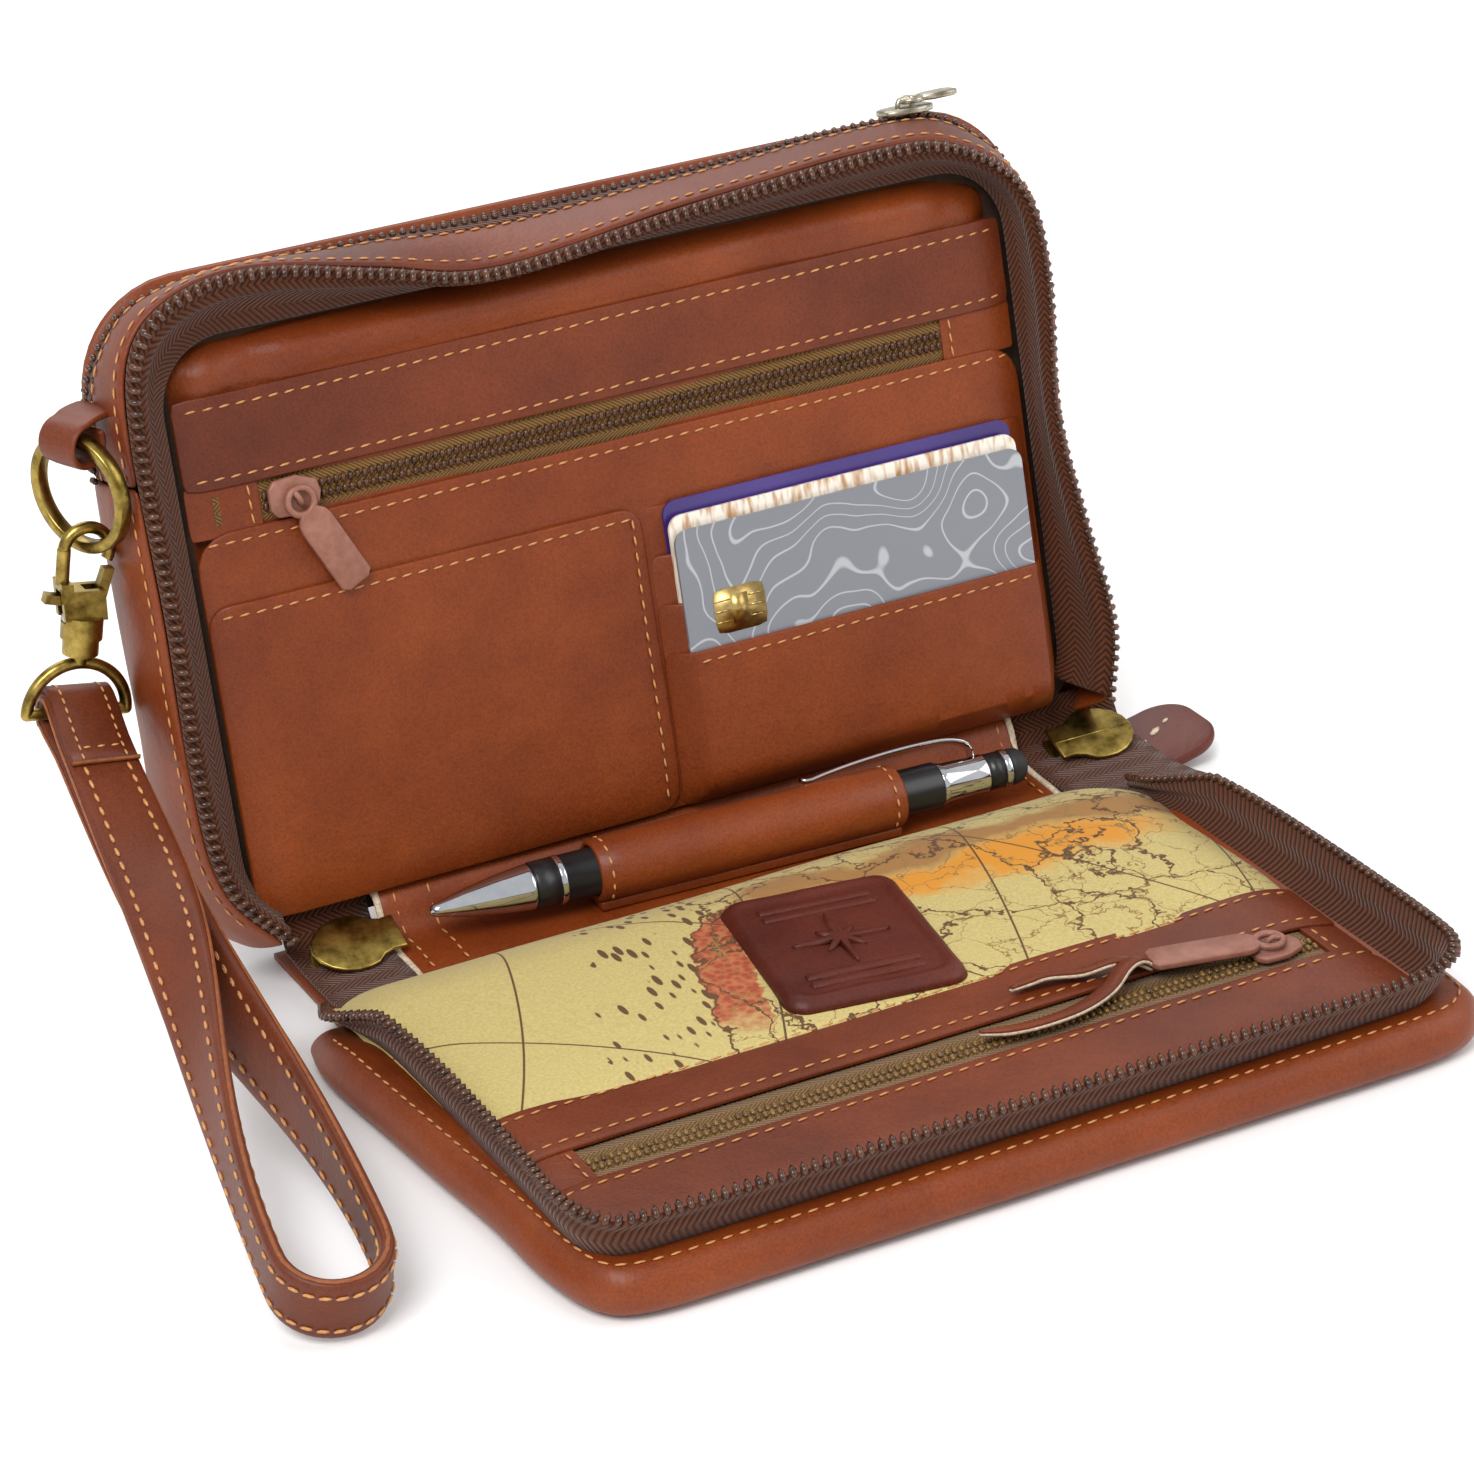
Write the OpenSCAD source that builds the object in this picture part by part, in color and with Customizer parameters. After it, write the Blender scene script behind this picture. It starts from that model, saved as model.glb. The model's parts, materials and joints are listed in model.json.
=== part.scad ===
// Zip-around travel document organizer, standing open in an L: a case that leans back,
// a padded flap that lies flat in front of it, and a wrist strap on the left side.
// Millimetres. +X runs to the right along the fold, +Y to the back, +Z up.
// The origin lies on the resting face, half-way along the fold.

/* [Case] */
// Half of the case's outer width
case_half = 108.5; // [100:0.5:120]
// Height of the case along its leaning face
case_top = 145; // [135:1:155]
// How far the case leans back, in degrees
lean = 12; // [8:1:14]
// Depth of the case behind its pocket panel
case_depth = 22; // [20:1:26]
// Corner radius of the case's outline
case_corner = 22; // [16:1:26]
// Thickness of the outer leather
leather = 1.6; // [1.2:0.1:1.8]

/* [Pocket panel] */
// Half of the padded panel's width
panel_half = 98; // [94:1:99]
// Top of the padded panel
panel_top = 133; // [130:1:134]
// Top edge of the upper slip pocket
fold_top = 122; // [118:1:126]
// Centre height of the zip pocket's window
window_mid = 98; // [96:1:100]
// Height of the zip pocket's window
window_h = 9; // [7:0.5:10]
// Top edge of the wide left pocket
id_top = 78.5; // [72:0.5:80]
// Top edge of the highest card tier
tier_top = 77.5; // [74:0.5:80]
// Step from one card tier down to the next
tier_step = 10.7; // [9:0.1:12]

/* [Main zip] */
// Half-width of the zip's path round the case
zip_half = 106; // [104:0.5:107]
// Height of the zip's path over the case
zip_top = 140; // [136:0.5:142]
// How far the case's half of the zip stands forward of the panel
zip_proud = 11.5; // [9:0.5:12]
// Width of the row of teeth
teeth_w = 2.4; // [2:0.1:3]
// Thickness of the woven tape
tape_t = 1.1; // [0.8:0.1:1.2]

/* [Flap] */
// Half of the flap's outer width
flap_half = 104.5; // [102:0.5:106]
// Distance from the fold to the flap's free edge
flap_len = 131; // [126:1:134]
// Thickness of the flap's leather rim
flap_rim = 11; // [9:0.5:11.5]
// Height of the flap's half of the zip above the resting face
flap_zip_z = 22.5; // [20:0.5:23]
// Distance of the fold line forward of the origin
fold_y = 27; // [26:0.5:29]

/* [Pen] */
// Outer radius of the pen
pen_r = 5.3; // [4.5:0.1:5.4]
// Distance from the pen's tip to its far end
pen_len = 141; // [130:1:148]
// Height of the pen's axis
pen_z = 12.6; // [12.6:0.1:13]
// Distance of the pen's axis forward of the origin
pen_y = 13.6; // [12.5:0.1:14]
// Turn of the pen about the vertical, in degrees
pen_turn = 3; // [0:0.5:3]

/* [Cards] */
// Length of a card
card_l = 85.6; // [85:0.1:86]
// Height of a card
card_h = 54; // [53:0.5:54]
// Thickness of a card
card_t = 0.8; // [0.6:0.1:0.9]

/* [Wrist strap] */
// Width of the strap
strap_w = 15; // [12:0.5:16]
// Thickness of the strap's sewn double leather
strap_t = 3; // [2.4:0.1:3]
// Outer radius of the ring
ring_r = 13; // [12.5:0.5:13]
// Half-width of the strap's loop at its end
loop_half = 10.5; // [9:0.5:11]

/* [Hidden] */
$fn = 48;
gap = 0.3;

// Case layers, as depths behind the panel's front face
strip_back = 7;
back_zip_back = 14;
seam_v = 104;
window_left = -82;
window_right = 79;
tier_left = 2;
tier_right = 96;
card_left = 6;
layer = 1.0;
floor_skin = 1.8;

// Main sliders: their places on the fold strip
slider_x = [-79.6, 101.2];
slider_y = [-5, -4.3];
slider_z = 1.9;
slider_l = 20;
slider_w = 15;
slider_gap = 2.6;
plate_t = 1.2;

// Pocket zips
flap_zip_y = -118.5;
small_slider_l = 11;
small_slider_w = 8;

// Strap hardware: the ring, and the hook's own frame at the ring's lowest section
ring_c = [-118, 24.5, 109];
ring_turn = -65;
ring_radial = 2.4;
ring_axial = 3.2;
hang = [ring_c[0], ring_c[1], ring_c[2] - ring_r + ring_radial / 2];
hook_tilt = 10;
wire_r = 1.3;
bow_r = 4.9;
bow_z = -1;
rivet_x = 0.5;
rivet_z = -14.5;
eye_r = 10.8;
eye_z = -36.5;

/* Shared shapes */

// A rectangle with round corners, from one corner to the other
module round_rect(x0, y0, x1, y1, r) {
    translate([x0 + r, y0]) square([x1 - x0 - 2 * r, y1 - y0]);
    translate([x0, y0 + r]) square([x1 - x0, y1 - y0 - 2 * r]);
    for (x = [x0 + r, x1 - r], y = [y0 + r, y1 - r])
        translate([x, y]) circle(r);
}

// A band of wall thickness t just inside a round-cornered outline
module outline_band(half, low, high, r, t) {
    difference() {
        round_rect(-half, low, half, high, r);
        round_rect(-half + t, low + t, half - t, high - t, r - t);
    }
}

// The case's own frame: x across, y back from the panel's face, z up the panel
module leaning() {
    translate([0, 0, 4]) rotate([-lean, 0, 0]) children();
}

// A flat outline made into a layer between two depths of the case's frame
module layer_of(front, back) {
    translate([0, back, 0]) rotate([90, 0, 0]) linear_extrude(back - front) children();
}

// Keeps what lies above the case's bottom leather
module above_floor() {
    intersection() {
        children();
        translate([-200, -60, floor_skin]) cube([400, 160, 200]);
    }
}

// A block between two corners
module block(a, b) {
    translate(a) cube(b - a);
}

/* Case */

module back_panel() {
    color("#8a4a26") above_floor() leaning() {
        layer_of(case_depth - leather, case_depth)
            round_rect(-case_half, -6, case_half, case_top, case_corner);
        layer_of(back_zip_back + gap, case_depth - leather)
            outline_band(case_half, -6, case_top, case_corner, leather);
    }
}

module back_stiffener() {
    color("#b9a98a") leaning()
        layer_of(case_depth - leather - 1.9, case_depth - leather - gap)
            round_rect(-case_half + 4, 6, case_half - 4, case_top - 4, case_corner - 4);
}

module partition_lining() {
    color("#3c2a1c") leaning()
        layer_of(strip_back - 1.4, strip_back - 0.2)
            round_rect(-case_half + 3, 6, case_half - 3, case_top - 3, case_corner - 3);
}

module top_strip() {
    color("#6b3220") leaning() intersection() {
        layer_of(-5, strip_back)
            outline_band(case_half, -6, case_top, case_corner, leather);
        block([-120, -10, seam_v + gap], [120, 30, 200]);
    }
}

// One side's gusset below the strip's seam, cut away at its foot for the zip's slider
module side_gusset(side) {
    x0 = side > 0 ? 60 : -120;
    color("#8a4a26") above_floor() leaning() intersection() {
        layer_of(-5, back_zip_back)
            outline_band(case_half, -6, case_top, case_corner, leather);
        union() {
            block([x0, -10, 5], [x0 + 60, 30, seam_v]);
            block([x0, 5.5, -10], [x0 + 60, 30, seam_v]);
            block([x0, strip_back + gap, -10], [x0 + 60, 30, seam_v + 14.7]);
        }
    }
}

module side_gusset_left() {
    side_gusset(-1);
}

module side_gusset_right() {
    side_gusset(1);
}

module back_zip_tape() {
    color("#3c2116") leaning() intersection() {
        layer_of(strip_back + gap, back_zip_back)
            outline_band(case_half - 0.4, -6, case_top - 0.4, case_corner - 0.4, tape_t);
        block([-120, 0, seam_v + 15], [120, 30, 200]);
    }
}

module back_zip_teeth() {
    color("#4a3424") leaning() intersection() {
        layer_of(strip_back + 2.4, strip_back + 4.8)
            outline_band(case_half + 0.6, -6, case_top + 0.6, case_corner + 0.6, 1);
        block([-120, 0, seam_v + 15], [120, 30, 200]);
    }
}

// The path round the case that the main zip's half follows, open at the bottom
module case_zip_path(half, t) {
    difference() {
        outline_band(half, 6, zip_top, 20, t);
        translate([-92, 0]) square([184, 40]);
    }
}

module main_zip_tape_case() {
    color("#3c2116") leaning()
        layer_of(-zip_proud + teeth_w, 1) case_zip_path(zip_half, tape_t);
}

module main_zip_teeth_case() {
    color("#4a3424") leaning()
        layer_of(-zip_proud, -zip_proud + teeth_w) case_zip_path(zip_half + 0.6, teeth_w);
}

/* Pocket panel */

module pocket_panel() {
    color("#8a4a26") leaning()
        layer_of(0, 5) round_rect(-panel_half, 9, panel_half, panel_top, 13);
}

// The leather face below the zip pocket, which the lower pockets are sewn to
module panel_facing() {
    color("#8a4a26") leaning()
        layer_of(-1.9, -0.9)
            round_rect(-panel_half + 1, 11, panel_half - 1, window_mid - window_h / 2, 6);
}

module upper_slip_pocket() {
    color("#8a4a26") leaning()
        layer_of(-1.9, -0.9)
            round_rect(-panel_half + 1, window_mid + window_h / 2, panel_half - 1, fold_top, 2);
}

// The two short pieces of leather at the ends of the zip pocket's window
module window_end_leather() {
    low = window_mid - window_h / 2 + gap;
    high = window_mid + window_h / 2 - gap;
    color("#8a4a26") leaning() {
        block([-panel_half + 1, -1.8, low], [window_left, -0.9, high]);
        block([window_right, -1.8, low], [panel_half - 1, -0.9, high]);
    }
}

module case_zip_tape() {
    color("#6e4a26") leaning()
        block([-panel_half + 4, -0.8, window_mid - 7], [panel_half - 4, -0.1, window_mid + 7]);
}

module case_zip_coil() {
    color("#4a3424") leaning()
        block([window_left, -2, window_mid - 2], [window_right, -0.8, window_mid + 2]);
}

module id_pocket() {
    color("#8a4a26") leaning()
        layer_of(-3.2, -2.1) round_rect(-panel_half + 1, 11, 0, id_top, 4);
}

// One tier of the card holder, counted from the back; each holds the card behind it
module card_tier(n) {
    back = -2.1 - 2 * (n - 1);
    color("#8a4a26") leaning()
        layer_of(back - layer, back)
            round_rect(tier_left, 11, tier_right, tier_top - (n - 1) * tier_step, 2);
}

module card_tier_1() {
    card_tier(1);
}

module card_tier_2() {
    card_tier(2);
}

module card_tier_3() {
    card_tier(3);
}

module card_tier_4() {
    card_tier(4);
}

/* Fold strip between the case and the flap */

module spine_leather() {
    color("#8a4a26")
        linear_extrude(leather)
            round_rect(-102, -fold_y + 1.8, 102, case_depth * cos(lean) - 1, 6);
}

module spine_liner() {
    color("#6b3220")
        block([-68, -fold_y + 3, leather + 0.1], [90, -2, leather + 1.5]);
}

// Turns a shape drawn along X into the pen's place and direction
module at_pen() {
    translate([0, -pen_y, pen_z]) rotate([0, 0, -pen_turn]) children();
}

// A cylinder along X from x0 to x1
module along_x(x0, x1, r) {
    translate([x0, 0, 0]) rotate([0, 90, 0]) cylinder(h = x1 - x0, r = r);
}

module pen_sleeve() {
    color("#8a4a26") at_pen() difference() {
        union() {
            along_x(-27, 45, pen_r + 1.7);
            block([-27, -5, leather + 1.6 - pen_z], [45, 5, 2.6 - pen_z + 3]);
        }
        along_x(-28, 46, pen_r + gap);
    }
}

// A rounded leather tab at the right end of the fold, held while the zip is drawn
module grab_tab() {
    color("#8a4a26")
        translate([102.3, -20, 0.1]) linear_extrude(1.5) round_rect(0, 0, 26, 24, 7);
}

// Leather loop that carries the ring, in the ring's own direction
module strap_tab() {
    roll_r = 4.9;
    color("#8a4a26")
        translate([ring_c[0], ring_c[1], ring_c[2] + ring_r - 2.2]) rotate([0, 0, ring_turn])
            difference() {
                union() {
                    along_x(-6, 4, roll_r);
                    block([-6, 0, 1.6], [4, 13, roll_r]);
                }
                along_x(-7, 5, 3.2);
                rotate([0, 0, -ring_turn])
                    block([8.7, -40, -20], [40, 40, 20]);
            }
}

/* Flap */

// A flat outline made into a layer between two heights
module slab(low, high) {
    translate([0, 0, low]) linear_extrude(high - low) children();
}

flap_front = -fold_y - flap_len;

module flap_shell() {
    color("#8a4a26") difference() {
        slab(0, flap_rim)
            round_rect(-flap_half, flap_front, flap_half, -fold_y - 1.2, 10);
        slab(leather, flap_rim + 1)
            round_rect(-flap_half + 4, flap_front + 4, flap_half - 4, -fold_y + 30, 7);
        block([-120, -fold_y - 14, leather], [120, 0, 30]);
    }
}

module flap_padding() {
    color("#cfc8b8")
        slab(leather + 0.1, 8.6) round_rect(-97, flap_front + 6.5, 97, -fold_y - 24, 5);
}

module flap_lining() {
    color("#d8c98c") slab(8.7, 12.6) round_rect(-96, -95, 96, -fold_y - 25, 3);
}

module flap_band() {
    color("#6b3220") slab(8.7, 12) round_rect(-96, -112.5, 96, -95.2, 1);
}

module flap_zip_tape() {
    color("#6e4a26") slab(8.7, 10.4) round_rect(-96, -124.3, 96, -112.7, 1);
}

module flap_zip_coil() {
    color("#8a6a3a") slab(10.5, 11.9) round_rect(-80, flap_zip_y - 2, 86, flap_zip_y + 2, 1);
}

module flap_facing() {
    color("#6b3220") slab(8.7, 12) round_rect(-96, -149.5, 96, -124.5, 6);
}

module flap_patch() {
    color("#5a2a1e") translate([0, -71, 12.7]) rotate([0, 0, -7])
        linear_extrude(2.2) round_rect(-20, -24, 20, 24, 4);
}

// The flap's half of the zip, open towards the fold and lower near it
module flap_zip_path(half, t) {
    difference() {
        round_rect(-half, flap_front + 4.6, half, -fold_y + 30, 8);
        round_rect(-half + t, flap_front + 4.6 + t, half - t, -fold_y + 31, 8 - t);
        translate([-120, -fold_y - 14]) square([240, 60]);
    }
}

// The slope by which the flap's zip rises away from the fold
module rising_zip() {
    difference() {
        children();
        translate([-120, -fold_y - 34, flap_zip_z + 0.1]) rotate([-28, 0, 0])
            cube([240, 40, 20]);
    }
}

module main_zip_tape_flap() {
    color("#3c2116") rising_zip()
        slab(leather + 0.3, flap_zip_z - teeth_w) flap_zip_path(flap_half - 4.4, tape_t);
}

module main_zip_teeth_flap() {
    color("#4a3424") rising_zip()
        slab(flap_zip_z - teeth_w, flap_zip_z) flap_zip_path(flap_half - 4, teeth_w);
}

/* Sliders and pulls */

// A shield-shaped plate with a narrow nose, wide shoulders and a round end
module shield() {
    polygon([
        [-slider_l / 2, -3.5], [-slider_l / 2, 3.5], [-3.5, slider_w / 2 - 0.5],
        [0, slider_w / 2 - 1.6], [4, slider_w / 2], [8.5, 5], [slider_l / 2, 0],
        [8.5, -5], [4, -slider_w / 2], [0, -slider_w / 2 + 1.6], [-3.5, -slider_w / 2 + 0.5]
    ]);
}

// A main slider: two plates joined by a post, its nose towards the middle of the fold
module main_slider(n) {
    color("#a8924a")
        translate([slider_x[n], slider_y[n], slider_z]) rotate([0, 0, n == 0 ? 180 : 0]) {
            linear_extrude(plate_t) shield();
            translate([0, 0, plate_t + slider_gap]) linear_extrude(plate_t) shield();
            translate([-6, 0, 0]) cylinder(h = 2 * plate_t + slider_gap, r = 2);
        }
}

module main_slider_left() {
    main_slider(0);
}

module main_slider_right() {
    main_slider(1);
}

back_slider_x = 84;

module back_slider() {
    color("#a39a86") leaning()
        translate([back_slider_x, strip_back + 3.6, case_top + 1]) {
            translate([-6, -4, 0]) cube([12, 8, 1.4]);
            translate([-3, -1.2, 1.4]) difference() {
                cube([6, 2.4, 2.8]);
                translate([3, 3, 1.2]) rotate([90, 0, 0]) cylinder(h = 4, r = 0.9);
            }
        }
}

module back_pull() {
    color("#a39a86") leaning()
        translate([back_slider_x, strip_back + 3.6, case_top + 3.6]) {
            rotate([90, 0, 0]) cylinder(h = 6, r = 0.6, center = true);
            for (y = [-3, 1.6])
                translate([-0.7, y, -0.7]) cube([6.2, 1.4, 1.4]);
            translate([5.5, -3, -0.7]) cube([7, 6, 1.4]);
        }
}

// The moving part of a small pocket zip, on the XY plane, its eye turned like its pull
module small_zip_slider(eye_turn) {
    translate([-small_slider_l / 2, -small_slider_w / 2, 0])
        cube([small_slider_l, small_slider_w, 1.4]);
    rotate([0, 0, eye_turn]) difference() {
        translate([-2.4, -1.2, 1.4]) cube([4.8, 2.4, 2.8]);
        translate([0, 2, 2.6]) rotate([90, 0, 0]) cylinder(h = 4, r = 0.9);
    }
}

// A flat pull on its pin, reaching to +X
module small_zip_pull(length) {
    rotate([90, 0, 0]) cylinder(h = 6.4, r = 0.6, center = true);
    for (y = [-3.2, 1.8])
        translate([-0.6, y, -0.6]) cube([6.6, 1.4, 1.2]);
    translate([6, -3.8, -0.6]) cube([length - 6, 7.6, 1.2]);
}

case_slider_x = -75;
pull_turn = -64;

module case_slider() {
    color("#8a5b4a") leaning() translate([case_slider_x, -2.3, window_mid]) rotate([90, 0, 0])
        small_zip_slider(pull_turn);
}

module case_pull() {
    color("#8a5b4a") leaning()
        translate([case_slider_x, -4.9, window_mid]) rotate([90, 0, 0])
            rotate([0, 0, pull_turn]) small_zip_pull(23);
}

flap_slider_x = 76;

module flap_slider() {
    color("#8a5b4a") translate([flap_slider_x, flap_zip_y, 12.2])
        small_zip_slider(0);
}

// The flap's pull with the leather thong looped through it, one swinging piece
module flap_pull() {
    color("#8a5b4a") translate([flap_slider_x, flap_zip_y, 14.8]) rotate([0, 0, 180]) {
        small_zip_pull(26);
        block([26, -2, -0.9], [68, 2, 0.9]);
    }
}

/* Strap hardware */

module strap_ring() {
    color("#a8924a") translate(ring_c) rotate([0, 0, ring_turn]) rotate([90, 0, 0])
        rotate_extrude($fn = 96)
            translate([ring_r - ring_radial, -ring_axial / 2]) square([ring_radial, ring_axial]);
}

// The hook's own frame: its plane is XZ, its axis Z, its origin the ring's lowest section
module at_hook() {
    translate(hang) rotate([0, hook_tilt, 0]) children();
}

// A profile drawn in the hook's XZ plane, given a thickness about that plane
module flat_on_hook(thickness) {
    rotate([90, 0, 0]) linear_extrude(thickness, center = true) children();
}

module snap_hook() {
    color("#a8924a") at_hook() {
        difference() {
            union() {
                translate([0, 0, bow_z]) rotate([90, 0, 0]) rotate([0, 0, -25])
                    rotate_extrude(angle = 205) translate([bow_r, 0]) circle(wire_r);
                translate([-bow_r, 0, -8]) cylinder(h = 8.4 + bow_z, r = wire_r + 0.15);
                flat_on_hook(5.6)
                    polygon([
                        [-6, -7.4], [-3.4, -7.4], [-3.2, -9], [3.6, -9], [4.6, -15.5], [-4.6, -15.5]
                    ]);
                translate([0, 0, -20]) cylinder(h = 5, r = 4.4);
                translate([0, 0, -23.5]) cylinder(h = 3.6, r = 3.8);
            }
            block([-8, -1.5, -16.4], [8, 1.5, -9.4]);
            block([-0.4, -1.5, -9.5], [8, 1.5, -8]);
            translate([0, 0, -24]) cylinder(h = 5, r = 1.9);
            translate([0, 0, -19.4]) cylinder(h = 3.1, r = 3.2);
        }
        hook_rivet(0.9);
    }
}

// The rivet that the gate turns on, or the hole for it
module hook_rivet(r) {
    translate([rivet_x, 0, rivet_z]) rotate([90, 0, 0]) cylinder(h = 5, r = r, center = true);
}

module hook_gate() {
    color("#5a5236") at_hook() difference() {
        flat_on_hook(2.4)
            polygon([
                [-1.5, -15.4], [2, -15.4], [4.6, -11], [5.9, -5], [3.7, -5], [2.4, -10],
                [-5, -10.4], [-8.4, -9.8], [-8.8, -11.8], [-5, -12.4], [-2.4, -13.4]
            ]);
        hook_rivet(1);
    }
}

// The leaf that presses the gate shut, inside the hook's slot
module gate_spring() {
    color("#c0c0c0") at_hook() block([-4.2, -1, -16.3], [-3.9, 1, -14.8]);
}

module swivel_eye() {
    color("#a8924a") at_hook() {
        translate([0, 0, eye_z]) {
            rotate([90, 0, 0]) rotate_extrude(angle = 180) translate([eye_r, 0]) circle(wire_r);
            along_x(-eye_r, eye_r, wire_r);
            for (x = [-eye_r, eye_r])
                translate([x, 0, 0]) sphere(wire_r);
        }
        translate([0, 0, eye_z + eye_r]) cylinder(h = 8.5, r = 1.6);
        translate([0, 0, -19]) cylinder(h = 2.2, r = 2.7);
    }
}

// The strap's centre line: the pair of plies runs from the eye's bar to the loop's end
bar = [
    hang[0] + eye_z * sin(hook_tilt),
    hang[1],
    hang[2] + eye_z * cos(hook_tilt)
];
strap_route = [bar, [-128, -20, 42.5], [-131, -75, 28.5], [-136, -125, 11.6]];
fold_half = wire_r + gap + strap_t / 2;
sewn_half = strap_t / 2 + 0.15;
leg_steps = 26;
turn_steps = 10;

function smooth(a, b, t) =
    let (s = min(1, max(0, (t - a) / (b - a)))) s * s * (3 - 2 * s);
function unit(v) = v / norm(v);
function route(t) =
    pow(1 - t, 3) * strap_route[0] + 3 * t * pow(1 - t, 2) * strap_route[1]
    + 3 * t * t * (1 - t) * strap_route[2] + pow(t, 3) * strap_route[3];
function heading(t) = unit(route(min(1, t + 0.01)) - route(max(0, t - 0.01)));
// Across the pair at t, before and after its quarter turn
function across(t) = let (d = heading(t), x = [1, 0, 0]) unit(x - d * (d * x));
function apart(t) = cross(heading(t), across(t));
function twist(t) = -9 + 99 * smooth(0.05, 0.95, t);
function ply_normal(t) = apart(t) * cos(twist(t)) - across(t) * sin(twist(t));
function ply_width(t) = across(t) * cos(twist(t)) + apart(t) * sin(twist(t));
function half_gap(t) =
    sewn_half + (fold_half - sewn_half) * (1 - smooth(0, 0.09, t))
    + (loop_half - sewn_half) * smooth(0.2, 1, t);
// One ring of four corners: a centre, the outward normal there and the width direction
function ring_at(c, n, w) = [
    for (k = [[1, 1], [1, -1], [-1, -1], [-1, 1]])
        c + n * k[0] * strap_t / 2 + w * k[1] * strap_w / 2
];
function leg_ring(t, side) =
    ring_at(route(t) + side * half_gap(t) * ply_normal(t), side * ply_normal(t), ply_width(t));
function end_ring(t, half, way, a) =
    let (n = ply_normal(t) * cos(a) + way * heading(t) * sin(a))
    ring_at(route(t) + half * n, n, ply_width(t));

module wrist_strap() {
    rings = concat(
        [for (i = [0 : leg_steps]) leg_ring(i / leg_steps, 1)],
        [for (i = [1 : turn_steps - 1]) end_ring(1, loop_half, 1, 180 * i / turn_steps)],
        [for (i = [leg_steps : -1 : 0]) leg_ring(i / leg_steps, -1)],
        [for (i = [turn_steps - 1 : -1 : 1]) end_ring(0, fold_half, -1, 180 * i / turn_steps)]
    );
    count = len(rings);
    color("#8a4a26") polyhedron(
        points = [for (r = rings) each r],
        faces = [
            for (i = [0 : count - 1], k = [0 : 3])
                let (j = (i + 1) % count, m = (k + 1) % 4)
                each [[4 * i + k, 4 * i + m, 4 * j + m], [4 * i + k, 4 * j + m, 4 * j + k]]
        ]
    );
}

/* Contents */

// A card that stands in the tier counted from the back
module card(n) {
    top = tier_top + 0.5 - 3 * (n - 1);
    front = -4 - 2 * (n - 1);
    leaning()
        layer_of(front, front + card_t)
            round_rect(card_left, top - card_h, card_left + card_l, top, 3.2);
}

module card_back() {
    color("#3c2a6e") card(1);
}

module card_middle() {
    color("#e8e0d2") card(2);
}

module card_front() {
    color("#7f8188") card(3);
}

pen_tip_x = -64;

module pen_barrel() {
    end = pen_tip_x + pen_len;
    color("#1c1c1e") at_pen() {
        translate([pen_tip_x, 0, 0]) rotate([0, 90, 0]) cylinder(h = 23, r1 = 0.8, r2 = pen_r - 0.2);
        along_x(pen_tip_x + 23, end - 12, pen_r);
        along_x(end - 12, end - 3, pen_r - 1.2);
        translate([end - 3, 0, 0]) sphere(pen_r - 1.2);
    }
}

module pen_clip() {
    root = pen_tip_x + pen_len - 14;
    top = pen_r + 2.1;
    color("#b8bcc2") at_pen() rotate([-35, 0, 0]) {
        block([25, -1.8, top], [root, 1.8, top + 1]);
        block([root - 4, -1.8, pen_r + 0.1], [root, 1.8, top]);
    }
}

back_panel();
back_stiffener();
partition_lining();
top_strip();
side_gusset_left();
side_gusset_right();
back_zip_tape();
back_zip_teeth();
main_zip_tape_case();
main_zip_teeth_case();
pocket_panel();
panel_facing();
upper_slip_pocket();
window_end_leather();
case_zip_tape();
case_zip_coil();
id_pocket();
card_tier_1();
card_tier_2();
card_tier_3();
card_tier_4();
spine_leather();
spine_liner();
pen_sleeve();
strap_tab();
grab_tab();
flap_shell();
flap_padding();
flap_lining();
flap_band();
flap_facing();
flap_zip_tape();
flap_zip_coil();
flap_patch();
main_zip_tape_flap();
main_zip_teeth_flap();
main_slider_left();
main_slider_right();
back_slider();
back_pull();
case_slider();
case_pull();
flap_slider();
flap_pull();
strap_ring();
snap_hook();
hook_gate();
gate_spring();
swivel_eye();
wrist_strap();
card_back();
card_middle();
card_front();
pen_barrel();
pen_clip();
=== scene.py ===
"""Looks of a zip-around travel document organizer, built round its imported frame.

Every length inside a class is in millimetres. Pieces of the leaning case are drawn in its
own face frame (u across, v up the face, w towards the front), all others in the row's frame.
"""

import json
import logging
import math
from collections.abc import Callable, Sequence
from dataclasses import dataclass
from enum import Enum

import bmesh
import bpy
from mathutils import Matrix, Vector, noise

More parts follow.
